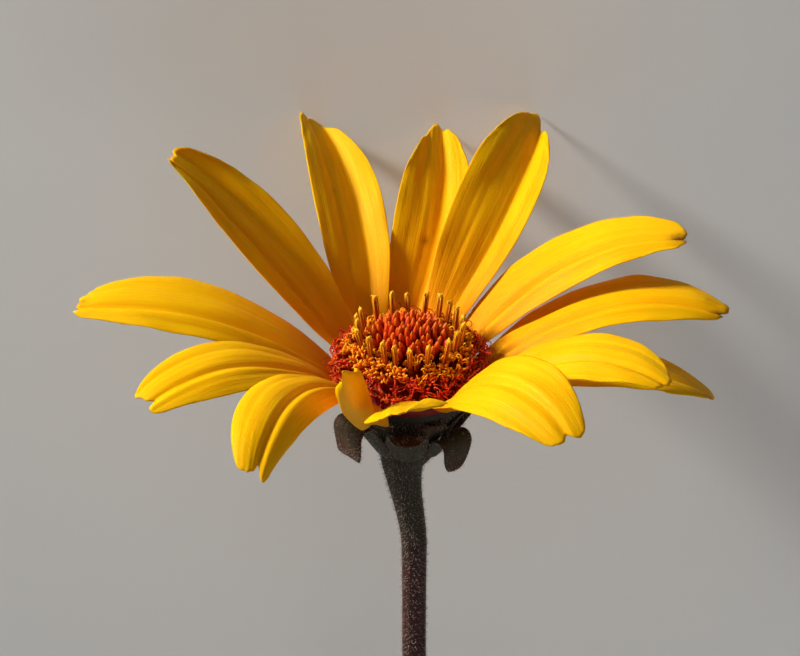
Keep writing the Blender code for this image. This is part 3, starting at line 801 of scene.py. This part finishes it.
# Petals.
def width_share(s):
    if s < WIDEST:
        return BASE_SHARE + (1 - BASE_SHARE) * math.sin(math.pi / 2 * s / WIDEST) ** 0.95
    return 1 - (1 - TIP_SHARE) * ((s - WIDEST) / (1 - WIDEST)) ** 2.4


def dent(apart, width):
    """How deep a groove or notch is beside its middle, as a share."""
    return math.exp(-((apart / width) ** 2))


def tip_reach(petal, number, across):
    """How far the tip stands forward or back at a place across it: one round end with a notch."""
    left, middle, right = petal.lobes
    fold = FOLDS[number - 1]
    reach = along((-LOBE_PLACE, 0.0, LOBE_PLACE), (right, middle, left), across) + TIP_GAIN
    rounding = 1 - math.sqrt(max(0.0, 1 - abs(across) ** 2.4))
    notch = fold.notch * dent(across - fold.place, NOTCH_WIDTH)
    ragged = RAGGED_DEPTH * noise.noise(Vector((across * 5, number * 5.3, 0.0)))
    return reach - fold.taper * rounding - notch + ragged


def petal_turn(petal, s):
    """The way forward, sideways and up at a place along a petal, as a matrix's columns."""
    settled = smooth(s / SETTLED)
    heading = math.radians(petal.lean + petal.bend * s) * settled
    own_rise = petal.rise - petal.droop * s**petal.power
    rise = math.radians(START_RISE + (own_rise - START_RISE) * settled)
    roll = math.radians(petal.roll + petal.twist * s) * settled
    return Matrix.Rotation(heading, 3, "Z") @ Matrix.Rotation(-rise, 3, "Y") @ Matrix.Rotation(roll, 3, "X")


def petal_spine(petal):
    points = [Vector()]
    for index in range(SPINE_STEPS):
        forward = petal_turn(petal, index / SPINE_STEPS).col[0]
        points.append(points[-1] + forward * (petal.length / SPINE_STEPS))
    return points


def section_turn(across, crease):
    """How far a petal's section has turned at a place across it, as a share of its curl."""
    flap = smooth((-across - crease.place) / CREASE_WIDTH + 0.5)
    creased = PANEL_TURN - (PANEL_TURN + FLAP_TURN) * flap
    return across + (creased - across) * crease.share


def cross_section(curl, crease):
    """How far aside and up each column of a petal's row is, in half widths, from its right edge to its left."""
    middle = PETAL_COLUMNS // 2
    step = 1 / middle
    section = [(0.0, 0.0)]
    for column in range(middle):
        angle = curl * section_turn(-(column + 0.5) * step, crease)
        aside, up = section[0]
        section.insert(0, (aside - math.cos(angle) * step, up - math.sin(angle) * step))
    for column in range(middle):
        angle = curl * section_turn((column + 0.5) * step, crease)
        aside, up = section[-1]
        section.append((aside + math.cos(angle) * step, up + math.sin(angle) * step))
    return section


def petal_relief(petal, number, s, across, half):
    """How far a place stands above the petal's plain curl: lobes and grooves, veins, puckers and ruffles."""
    grown = min(1.0, s / 0.3)
    fold = FOLDS[number - 1]
    wander = GROOVE_WANDER * noise.noise(Vector((s * 1.7, number * 4.1, 0.0))) * (1 - s**4)
    apart = across - fold.place - wander
    beside = apart + math.copysign(SIDE_GROOVE_APART, fold.place)
    lift = 0.45 - 0.45 * abs(across) ** 3
    lift -= fold.groove * dent(apart, GROOVE_WIDTH)
    lift += RIDGE * fold.groove * dent(apart - math.copysign(GROOVE_WIDTH, fold.place), GROOVE_WIDTH)
    lift -= SIDE_GROOVE * (1 + noise.noise(Vector((s * 1.4, number * 2.9, 0.8)))) * dent(beside, GROOVE_WIDTH)
    lift *= GROOVE * half
    lift += VEIN_DEPTH * math.cos(across * VEIN_COUNT * math.pi) * (1 - across**4)
    lift += PUCKER_DEPTH * noise.noise(Vector((s * petal.length / 6, across * half / 1.6, number * 3.7)))
    lift += RUFFLE_DEPTH * noise.noise(Vector((s * petal.length / 4, across, number * 9.1))) * across**4
    return lift * grown


def petal_shape(petal, number):
    spine = petal_spine(petal)
    grid = np.zeros((PETAL_ROWS + 1, PETAL_COLUMNS, 3))
    thickness = np.zeros(grid.shape[:2])
    lengthwise = np.zeros(grid.shape[:2])
    crosswise = np.zeros(grid.shape[:2])
    painted_groove_shade = np.zeros(grid.shape[:2])
    for row in range(PETAL_ROWS + 1):
        s = row / PETAL_ROWS
        half = petal.width / 2 * width_share(s)
        curl = math.radians(petal.cup) * (0.5 + 0.5 * s) * smooth(s / SETTLED)
        section = cross_section(curl, CREASES.get(number, NO_CREASE))
        tip_part = max(0.0, (s - 0.6) / 0.4) ** 1.5
        for column, (aside, rise) in enumerate(section):
            across = 2 * column / (PETAL_COLUMNS - 1) - 1
            reached = s + tip_reach(petal, number, across) * tip_part / petal.length
            low = min(int(reached * SPINE_STEPS), SPINE_STEPS - 1)
            ahead = (reached - low / SPINE_STEPS) * petal.length
            forward, side, up = petal_turn(petal, min(reached, 1.0)).col
            lift = half * rise + petal_relief(petal, number, s, across, half)
            grid[row, column] = spine[low] + forward * ahead + side * (half * aside) + up * lift
            thickness[row, column] = PETAL_THICKNESS * (1 - 0.7 * abs(across) ** 5) * (1 - 0.6 * s**8)
            lengthwise[row, column] = s
            crosswise[row, column] = across
            # A mask along each petal's main groove, for the painted shade there.
            painted_groove_shade[row, column] = dent(across - FOLDS[number - 1].place, NOTCH_WIDTH)
    worn = np.zeros(thickness.shape)
    for blemish in BLEMISHES:
        if blemish.petal == number:
            aside = (crosswise - blemish.across) * petal.width / 2
            ahead = (lengthwise - blemish.along) * petal.length
            worn = np.maximum(worn, blemish.depth * np.exp(-(aside**2 + ahead**2) / blemish.radius**2))
    values = {
        "along": lengthwise,
        "across": crosswise,
        "worn": worn,
        "painted_groove_shade": painted_groove_shade,
        "number": np.full(thickness.shape, float(number)),
    }
    return shell(grid, thickness, values)


def make_petals():
    finish = petal_finish()
    for index, petal in enumerate(PETALS):
        number = index + 1
        mesh = mesh_of("petal", [petal_shape(petal, number)])
        azimuth = math.radians(FIRST_PETAL - index * 360 / PETAL_COUNT)
        place = Matrix.Translation(ringed(PETAL_START, azimuth, petal.lift) * MM)
        mesh.transform(FLOWER @ place @ Matrix.Rotation(azimuth, 4, "Z"))
        mesh.materials.append(finish)
        add_piece(f"fine_petal_{number:02d}", mesh, "petal", f"petal_{number:02d}")


# Stem and cup.
def stem_centre(z):
    neck = smooth((NECK - z) / 12)
    below = max(0.0, (-30 - z) / (-30 - STEM_END))
    return Vector((-0.7 + 1.3 * neck + 2.4 * below**2, -1.2 * math.sin(math.pi * below), z))


def stem_girth(z):
    if z > NECK + 2.1:
        return between(RECEPTACLE_FLANK, z)
    return STEM_RADIUS + STEM_FLARE * math.exp((z - NECK) / FLARE_REACH)


def stem_middle(z):
    """The middle of stem and receptacle at a height: the receptacle sits on the axis."""
    centre = stem_centre(z)
    on_axis = smooth((z + 10.5) / 3)
    return Vector((centre.x * (1 - on_axis), centre.y, z))


def make_stem(finish, hair_tree, hairs, hair):
    end = STEM_END + CUT_LIP
    heights = [end + (-20 - end) * step / 100 for step in range(100)]
    heights += [-20 + 20.2 * step / 60 for step in range(61)]
    path = bpy.data.meshes.new("stem path")
    path.from_pydata([stem_middle(z) * MM for z in heights], [(low, low + 1) for low in range(len(heights) - 1)], [])
    girth = [max(0.4, stem_girth(z) - 0.08) * MM for z in heights]
    path.attributes.new("girth", "FLOAT", "POINT").data.foreach_set("value", girth)
    path.attributes.new("tip", "FLOAT", "POINT").data.foreach_set("value", [(z - end) / -end for z in heights])
    values = {
        "Sides": STEM_SIDES,
        "Ribs": float(STEM_RIBS),
        "Rib depth": STEM_RIB_DEPTH * MM,
        "Knobble": STEM_KNOBBLE * MM,
        "Finish": finish,
    }
    mesh = grow(make_stem_tree(), values, path)
    downy = [1.0 if vertex.co.z < -1.8 * MM else 0.0 for vertex in mesh.vertices]
    mesh.attributes.new("downy", "FLOAT", "POINT").data.foreach_set("value", downy)
    mesh.transform(FLOWER)
    add_piece("fine_stem", mesh, "stem", "stem")
    values = {
        "Density": 9.0e6,
        "Shortest": 0.16 * MM,
        "Longest": 0.42 * MM,
        "Lean": 0.5,
        "Clearance": 0.5 * MM,
        "Seed": SEED,
        "Shapes": hairs,
        "Finish": hair,
    }
    add_piece("stem_hair", grow(hair_tree, values, mesh), "stem")


def make_cut_face():
    profile = ((STEM_RADIUS - 0.08, 0.0), (1.32, -0.09), (1.24, -0.13), (1.1, -0.1), (0.8, -0.04), (0.4, -0.07), (0.08, -0.03))
    shape = lathe(profile, STEM_SIDES, (0.0, 0.05, 0.2, 0.35, 0.6, 0.85, 1.0), STEM_RIBS, 0.02)
    mesh = mesh_of("cut face", [shape])
    mesh.flip_normals()
    end = STEM_END + CUT_LIP
    ahead = stem_centre(end + 0.5) - stem_centre(end)
    turn = ahead.to_track_quat("Z", "Y").to_matrix().to_4x4()
    mesh.transform(FLOWER @ Matrix.Translation(stem_centre(end) * MM) @ turn)
    mesh.materials.append(cut_finish())
    add_piece("cut_face", mesh, "stem")


def leaf_share(s, tip):
    """A bract's width from root to tip, as a share: wide in the middle, and tip of it left at the end."""
    if s < 0.5:
        return BRACT_ROOT_SHARE + (1 - BRACT_ROOT_SHARE) * math.sin(math.pi * s)
    return tip + (1 - tip) * math.sqrt(max(0.0, 1 - ((s - 0.5) / 0.5) ** 2.2))


def flank_radius(z):
    return between(RECEPTACLE_FLANK, z)


def bract_shape(point_at, number):
    """A bract's closed body over the surface that point_at gives, keeled and thin at its margins."""
    grid = np.zeros((BRACT_ROWS + 1, BRACT_COLUMNS, 3))
    thickness = np.zeros(grid.shape[:2])
    lengthwise = np.zeros(grid.shape[:2])
    crosswise = np.zeros(grid.shape[:2])
    for row in range(BRACT_ROWS + 1):
        s = row / BRACT_ROWS
        for column in range(BRACT_COLUMNS):
            across = 2 * column / (BRACT_COLUMNS - 1) - 1
            grid[row, column] = point_at(s, across)
            keel = 0.3 * math.exp(-((across / 0.09) ** 2)) * (1 - s)
            thickness[row, column] = BRACT_THICKNESS * (1 - 0.7 * abs(across) ** 4 + keel) * (1 - 0.5 * s**6)
            lengthwise[row, column] = s
            crosswise[row, column] = across
    margin = np.maximum(np.abs(crosswise) ** 6, lengthwise**10)
    values = {
        "along": lengthwise,
        "across": crosswise,
        "downy": 0.12 + 0.88 * margin,
        "number": np.full(thickness.shape, float(number)),
    }
    return shell(grid, thickness, values)


def inner_bract_surface(s, across):
    z = INNER_ROOT + (INNER_TOP - INNER_ROOT) * s
    radius = flank_radius(z) + BRACT_GAP + CAD_BRACT_THICKNESS / 2
    half = INNER_WIDTH / 2 * leaf_share(s, 0.45) / radius
    return ringed(radius, half * across, z)


def outer_bract_surface(bract, number):
    """The surface of a bract that follows the cup at first and then bends outwards."""
    middles = [Vector((OUTER_START[0], 0, OUTER_START[1]))]
    rises = []
    for index in range(BRACT_STEPS + 1):
        s = index / BRACT_STEPS
        rises.append(math.radians(OUTER_SLOPE - bract.droop * smooth((s - bract.bend) / bract.over)))
        forward = Vector((math.cos(rises[-1]), 0, math.sin(rises[-1])))
        middles.append(middles[-1] + forward * (bract.length / BRACT_STEPS))

    def surface(s, across):
        low = min(int(s * BRACT_STEPS), BRACT_STEPS - 1)
        share = s * BRACT_STEPS - low
        rise = rises[low] + (rises[low + 1] - rises[low]) * share
        up = Vector((-math.sin(rise), 0, math.cos(rise)))
        half = bract.width / 2 * leaf_share(s, bract.tip)
        curl = OUTER_CURL * (1.2 - s)
        lift = half * (1 - math.cos(curl * across)) / curl
        lift += 0.12 * noise.noise(Vector((s * 4, across * 1.5, number * 2.3))) * s
        return middles[low].lerp(middles[low + 1], share) + Vector((0, half * math.sin(curl * across) / curl, 0)) + up * lift

    return surface


def make_bracts(hair_tree, hairs, hair):
    finish = bract_finish()
    grounds = []
    for index, bract in enumerate(OUTER_BRACTS):
        number = index + 1
        inner = bract_shape(inner_bract_surface, number)
        outer = bract_shape(outer_bract_surface(bract, number), number)
        inner_azimuth = math.radians(INNER_TURN + index * 360 / len(OUTER_BRACTS))
        for kind, shape, azimuth in (("inner", inner, inner_azimuth), ("outer", outer, math.radians(bract.azimuth))):
            mesh = mesh_of(kind + " bract", [shape])
            mesh.transform(FLOWER @ Matrix.Rotation(azimuth, 4, "Z"))
            mesh.materials.append(finish)
            add_piece(f"fine_{kind}_bract_{number}", mesh, "bract", f"{kind}_bract_{number}")
            grounds.append((kind, number, mesh))
    for kind, number, mesh in grounds:
        values = {
            "Density": 1.4e7,
            "Shortest": 0.15 * MM,
            "Longest": 0.4 * MM,
            "Lean": 0.6,
            "Clearance": 0.5 * MM,
            "Seed": SEED + number,
            "Shapes": hairs,
            "Finish": hair,
        }
        add_piece(f"{kind}_bract_hair_{number}", grow(hair_tree, values, mesh), "bract")


# Small shapes of the disc, each with its foot at the origin, growing up along +Z.
def curled_path(start, ahead, reach, radius, sweep, steps):
    """A path that rises ahead and then curls over to the side in an arc."""
    path = [start, start + ahead * reach]
    side = Vector((ahead.y, -ahead.x, 0)) if abs(ahead.z) < 0.9 else Vector((1, 0, 0))
    side = (side - ahead * side.dot(ahead)).normalized()
    hub = path[-1] + side * radius
    for step in range(1, steps + 1):
        turn = math.radians(sweep) * step / steps
        path.append(hub - side * radius * math.cos(turn) + ahead * radius * math.sin(turn))
    return path


def lobe(turn, foot, mouth, length, width, fall, tips):
    """One pointed lobe of a floret's mouth, bent outwards and down."""
    rows, columns = 5, 3
    grid = np.zeros((rows, columns, 3))
    levels = np.zeros((rows, columns))
    place = Vector((mouth[0], 0, mouth[1]))
    for row in range(rows):
        s = row / (rows - 1)
        rise = math.radians(foot - fall * s)
        for column in range(columns):
            side = (column - 1) * width / 2 * (1 - s**1.6) * (0.85 + 0.3 * s)
            grid[row, column] = place + Vector((0, side, 0.06 * abs(column - 1)))
            levels[row, column] = tips[0] + (tips[1] - tips[0]) * s
        place = place + Vector((math.cos(rise), 0, math.sin(rise))) * (length / (rows - 1))
    spun = np.array(Matrix.Rotation(turn, 3, "Z"))
    return shell(grid @ spun.T, np.full((rows, columns), 0.07), {"tip": levels})


def bud_mesh(draw):
    """A closed floret like a slim spindle: five faint seams and a pointed tip, a little bent."""
    plump = draw.uniform(0.9, 1.08)
    profile = ((0.16, 0.0), (0.32, 0.4), (0.4, 0.9), (0.41, 1.35), (0.36, 1.8), (0.27, 2.15), (0.15, 2.42), (0.05, 2.56))
    tips = (0.0, 0.05, 0.2, 0.42, 0.62, 0.8, 0.93, 1.0)
    mesh = mesh_of("bud", [lathe([(radius * plump, z) for radius, z in profile], 10, tips, 5, 0.07)])
    bend = draw.uniform(0.02, 0.07)
    for vertex in mesh.vertices:
        vertex.co.x += bend * vertex.co.z**2 / MM
    return mesh


def arms(draw, base, sides, reach, radius, sweep, thickness, tips):
    """The two arms of a style, curled away from each other."""
    shapes = []
    spin = draw.uniform(0, math.pi)
    for opposite in (0, math.pi):
        turn = Matrix.Rotation(spin + opposite, 3, "Z")
        ahead = Vector((0.25, 0, 1)).normalized()
        path = curled_path(Vector((0, 0, base)), ahead, reach, radius * draw.uniform(0.8, 1.2), sweep * draw.uniform(0.75, 1.1), 9)
        path = [turn @ point for point in path]
        count = len(path)
        radii = [thickness * (1 - 0.35 * step / (count - 1)) for step in range(count)]
        levels = [tips[0] + (tips[1] - tips[0]) * (step / (count - 1)) ** 2 for step in range(count)]
        shapes.append(thread(path, radii, sides, levels))
    return shapes


def open_floret_mesh(draw):
    """An open floret: a narrow tube with five crumpled lobes, and two curled arms dusted with pollen."""
    profile = ((0.18, 0.0), (0.22, 0.5), (0.25, 1.1), (0.32, 1.5), (0.35, 1.7), (0.28, 1.64), (0.16, 1.4))
    shapes = [lathe(profile, 10, (0.0, 0.1, 0.3, 0.5, 0.6, 0.4, 0.1), 5, 0.07)]
    for index in range(5):
        turn = 2 * math.pi * (index + draw.uniform(-0.3, 0.3)) / 5
        fall = draw.uniform(20, 230)
        shapes.append(lobe(turn, 75, (0.31, 1.62), draw.uniform(0.35, 0.65), 0.36, fall, (0.5, 0.95)))
    shapes += arms(draw, 1.3, 6, draw.uniform(0.4, 0.7), 0.27, 250, 0.105, (0.6, 1.0))
    return mesh_of("open floret", shapes)


def anther_mesh(draw):
    """A ribbed pollen column with a rounded yellow hood, arched by two short arms."""
    profile = ((0.18, 0.0), (0.24, 0.8), (0.25, 2.4), (0.27, 3.6), (0.29, 4.0), (0.28, 4.25), (0.2, 4.4), (0.07, 4.46))
    shapes = [lathe(profile, 15, (0.0, 0.05, 0.12, 0.25, 0.5, 0.75, 0.9, 0.9), 5, 0.1)]
    for index in range(5):
        turn = 2 * math.pi * (index + 0.5) / 5
        path = [ringed(0.24, turn, 0.8), ringed(0.27, turn, 2.6), ringed(0.3, turn, 4.1)]
        shapes.append(thread(path, (0.03, 0.05, 0.06), 4, (0.3, 0.5, 0.85)))
    shapes += arms(draw, 4.0, 6, 0.3, 0.16, 200, 0.1, (0.95, 1.0))
    return mesh_of("anther", shapes)


def spent_floret_mesh(draw):
    """A spent floret: a narrow red tube with shrunken lobes and two long arms in loops."""
    profile = ((0.16, 0.0), (0.22, 0.6), (0.25, 1.3), (0.31, 1.7), (0.22, 1.65))
    shapes = [lathe(profile, 10, (0.0, 0.1, 0.25, 0.4, 0.1), 5, 0.08)]
    for index in range(5):
        turn = 2 * math.pi * (index + draw.uniform(-0.3, 0.3)) / 5
        shapes.append(lobe(turn, 75, (0.28, 1.63), draw.uniform(0.3, 0.55), 0.3, draw.uniform(20, 200), (0.3, 0.7)))
    shapes += arms(draw, 1.3, 5, draw.uniform(0.3, 0.7), draw.uniform(0.3, 0.45), 320, 0.085, (0.4, 1.0))
    return mesh_of("spent floret", shapes)


def style_mesh(draw):
    """A long thin style left over from a spent floret, with two arms curled back."""
    bow = draw.uniform(0.2, 0.5)
    path = [Vector((bow * math.sin(math.pi * step / 8), 0, 1.7 * step / 8)) for step in range(9)]
    stalk = thread(path, [0.055] * 9, 5, [0.1 * step / 8 for step in range(9)])
    return mesh_of("style", [stalk] + arms(draw, 1.65, 5, 0.25, draw.uniform(0.3, 0.5), 290, 0.05, (0.1, 0.6)))


def hair_mesh():
    """A hair one unit long, bent towards its tip."""
    rings = []
    for z, aside, radius in ((0.0, 0.0, 0.075), (0.5, 0.05, 0.055)):
        rings.append([Vector((aside, 0, z)) + ringed(radius, 2 * math.pi * side / 3, 0) for side in range(3)])
    rings.append([Vector((0.2, 0, 1.0)) + ringed(0.012, 2 * math.pi * side / 3, 0) for side in range(3)])
    shape = skin(rings, (0.0, 0.5, 1.0))
    mesh = mesh_of("hair", [shape])
    mesh.transform(Matrix.Scale(1 / MM, 4))
    return mesh


def petal_lift(azimuth):
    """The lift of the highest petal near an azimuth in radians."""
    lifts = []
    for index, petal in enumerate(PETALS):
        away = (math.degrees(azimuth) - FIRST_PETAL + index * 360 / PETAL_COUNT + 180) % 360 - 180
        if abs(away) < LOW_REACH:
            lifts.append(petal.lift)
    return max(lifts)


def grow_ring(tree, ring, shapes, finish, seed, over_petals=False):
    """A ring of florets, with their mouths at one height or each a little over the petals beside it."""
    ground = bpy.data.meshes.new("ring points")
    ground.from_pydata([(0, 0, 0)] * ring.count, [], [])
    raised = [petal_lift(2 * math.pi * index / ring.count) * MM if over_petals else 0.0 for index in range(ring.count)]
    ground.attributes.new("raised", "FLOAT", "POINT").data.foreach_set("value", raised)
    values = {
        "Foot radius": ring.foot[0] * MM,
        "Foot height": ring.foot[1] * MM,
        "Mouth radius": ring.mouth[0] * MM,
        "Mouth height": ring.mouth[1] * MM,
        "Stray": ring.stray,
        "Lean": ring.lean,
        "Smallest": ring.smallest,
        "Largest": ring.largest,
        "Seed": seed,
        "Shapes": shapes,
        "Finish": finish,
    }
    return grow(tree, values, ground)


def dome_height(radius):
    return DOME_TOP - DOME_FALL * (radius / DOME_REACH) ** 2


def add_disc_piece(name, mesh, slot, *nodes):
    mesh.transform(FLOWER @ DISC_SHIFT)
    add_piece(name, mesh, slot, *nodes)


def core_mesh(name, profile, sides, finish):
    """The flesh that a ring of florets grows from."""
    mesh = mesh_of(name, [lathe(profile, sides, [0.0] * len(profile))])
    mesh.attributes.new("tint", "FLOAT", "POINT")
    mesh.materials.append(finish)
    return mesh


def make_disc():
    draw = random.Random(SEED)
    bud = disc_finish(
        "bud flesh",
        ((0.0, (0.12, 0.002, 0.001)), (0.35, (0.42, 0.015, 0.001)), (0.7, (0.62, 0.05, 0.001)), (1.0, (0.82, 0.17, 0.004))),
        (1.0, 0.7, 0.7),
        (1.0, 1.4, 1.0),
    )
    gold = disc_finish(
        "floret gold",
        ((0.0, (0.3, 0.01, 0.001)), (0.35, (0.62, 0.07, 0.002)), (0.6, (0.88, 0.3, 0.002)), (1.0, (0.95, 0.56, 0.006))),
        (1.0, 0.55, 0.6),
        (1.0, 1.15, 1.0),
    )
    pollen = disc_finish(
        "pollen column",
        ((0.0, (0.4, 0.05, 0.002)), (0.3, (0.5, 0.11, 0.004)), (0.6, (0.78, 0.3, 0.006)), (1.0, (0.93, 0.56, 0.015))),
        (1.0, 0.85, 0.8),
        (1.0, 1.1, 1.0),
    )
    spent = disc_finish(
        "spent red",
        ((0.0, (0.2, 0.003, 0.001)), (0.4, (0.6, 0.015, 0.002)), (0.75, (0.8, 0.07, 0.004)), (1.0, (0.9, 0.34, 0.05))),
        (0.85, 0.6, 0.5),
        (1.1, 3.6, 1.0),
    )
    rings = make_ring_tree()
    buds = {
        "Count": BUD_COUNT,
        "Field": BUD_FIELD * MM,
        "Dome top": (DOME_TOP - BUD_PROUD - 0.2) * MM,
        "Dome fall": DOME_FALL * MM,
        "Dome reach": DOME_REACH * MM,
        "Splay": 0.25,
        "Lean": 0.1,
        "Middle size": 0.72,
        "Seed": SEED,
        "Shapes": store("bud shapes", [bud_mesh(draw) for _ in range(4)]),
        "Finish": bud,
    }
    add_disc_piece("fine_buds", grow(make_spiral_tree(), buds), "bud", "disc_buds")
    dome = [(0.1, CORE_FLOOR), (3.9, CORE_FLOOR)]
    dome += [(radius, dome_height(radius) - BUD_PROUD) for radius in (3.9, 3.3, 2.7, 2.0, 1.4, 0.7, 0.05)]
    add_disc_piece("bud_dome", core_mesh("bud dome", dome, 36, bud), "bud")

    open_shapes = store("open floret shapes", [open_floret_mesh(draw) for _ in range(5)])
    anther_shapes = store("anther shapes", [anther_mesh(draw) for _ in range(4)])
    spent_shapes = store("spent floret shapes", [spent_floret_mesh(draw) for _ in range(6)])
    for index, ring in enumerate(OPEN_RINGS):
        nodes = ("open_florets",) if index == 0 else ()
        mesh = grow_ring(rings, ring, open_shapes, gold, SEED + index)
        add_disc_piece(f"fine_open_florets_{index + 1}", mesh, "floret", *nodes)
    add_disc_piece("pollen_columns", grow_ring(rings, ANTHER_RING, anther_shapes, pollen, SEED + 5), "floret")
    add_disc_piece("open_core", core_mesh("open core", OPEN_CORE, 48, gold), "floret")
    for index, ring in enumerate(SPENT_RINGS):
        nodes = ("spent_florets",) if index == 0 else ()
        mesh = grow_ring(rings, ring, spent_shapes, spent, SEED + 10 + index)
        add_disc_piece(f"fine_spent_florets_{index + 1}", mesh, "spent", *nodes)
    low = grow_ring(rings, LOW_RING, spent_shapes, spent, SEED + 20, over_petals=True)
    add_disc_piece("fine_low_florets", low, "spent")
    style_shapes = store("style shapes", [style_mesh(draw) for _ in range(4)])
    add_disc_piece("long_styles", grow_ring(rings, STYLE_RING, style_shapes, spent, SEED + 30, True), "spent")
    add_disc_piece("spent_core", core_mesh("spent core", SPENT_CORE, 48, spent), "spent")


# Camera, floor and light.
def make_camera():
    rise = math.radians(CAMERA_RISE)
    ahead = Vector((0, math.cos(rise), -math.sin(rise)))
    up = Vector((0, math.sin(rise), math.cos(rise)))
    right = Vector((1, 0, 0))
    place = right * CAMERA_ASIDE[0] + up * CAMERA_ASIDE[1] - ahead * CAMERA_DISTANCE
    turn = Matrix((right, up, -ahead)).transposed().to_4x4()
    data = bpy.data.cameras.new("camera")
    data.sensor_width = SENSOR_WIDTH
    data.lens = SENSOR_WIDTH * CAMERA_DISTANCE / FRAME_WIDTH
    data.clip_start = 0.01
    camera = bpy.data.objects.new("camera", data)
    camera.matrix_world = FLOWER @ Matrix.Translation(place * MM) @ turn
    scene.collection.objects.link(camera)
    scene.camera = camera


def make_floor():
    side = 1.5
    mesh = bpy.data.meshes.new("floor")
    mesh.from_pydata([(-side, -side, 0), (side, -side, 0), (side, side, 0), (-side, side, 0)], [], [(0, 1, 2, 3)])
    mesh.materials.append(floor_finish())
    floor = bpy.data.objects.new("floor", mesh)
    scene.collection.objects.link(floor)


def add_light(name, way, distance, size, energy, colour, spread=180.0):
    """A soft square light that shines on the flower's head from a direction, as wide as its spread."""
    data = bpy.data.lights.new(name, "AREA")
    data.size = size
    data.energy = energy
    data.color = colour
    data.spread = math.radians(spread)
    light = bpy.data.objects.new(name, data)
    head = Vector(HEAD_PLACE) * MM
    back = Vector(way).normalized()
    light.location = head + back * distance
    light.rotation_euler = back.to_track_quat("Z", "Y").to_euler()
    scene.collection.objects.link(light)


def make_light():
    add_light("key", (0.8, -0.6, 0.1), 0.8, 0.14, 0.51, (1.0, 0.97, 0.9), 40.0)
    add_light("fill", (0.2, -0.2, 1.0), 0.9, 0.9, 0.45, (1.0, 1.0, 1.0))
    add_light("back", (-0.4, 0.9, 0.7), 1.0, 0.8, 2.0, (1.0, 1.0, 1.0))
    world = bpy.data.worlds.new("pale room")
    world.use_nodes = True
    background = world.node_tree.nodes["Background"]
    background.inputs["Color"].default_value = (1.0, 0.98, 0.95, 1)
    background.inputs["Strength"].default_value = 0.1
    scene.world = world
    scene.view_settings.view_transform = "Standard"


def main():
    make_camera()
    make_floor()
    make_light()
    hair_tree = make_hair_tree()
    hairs = store("hair shapes", [hair_mesh()])
    hair = hair_finish()
    make_petals()
    make_stem(stem_finish(), hair_tree, hairs, hair)
    make_cut_face()
    make_bracts(hair_tree, hairs, hair)
    make_disc()


main()
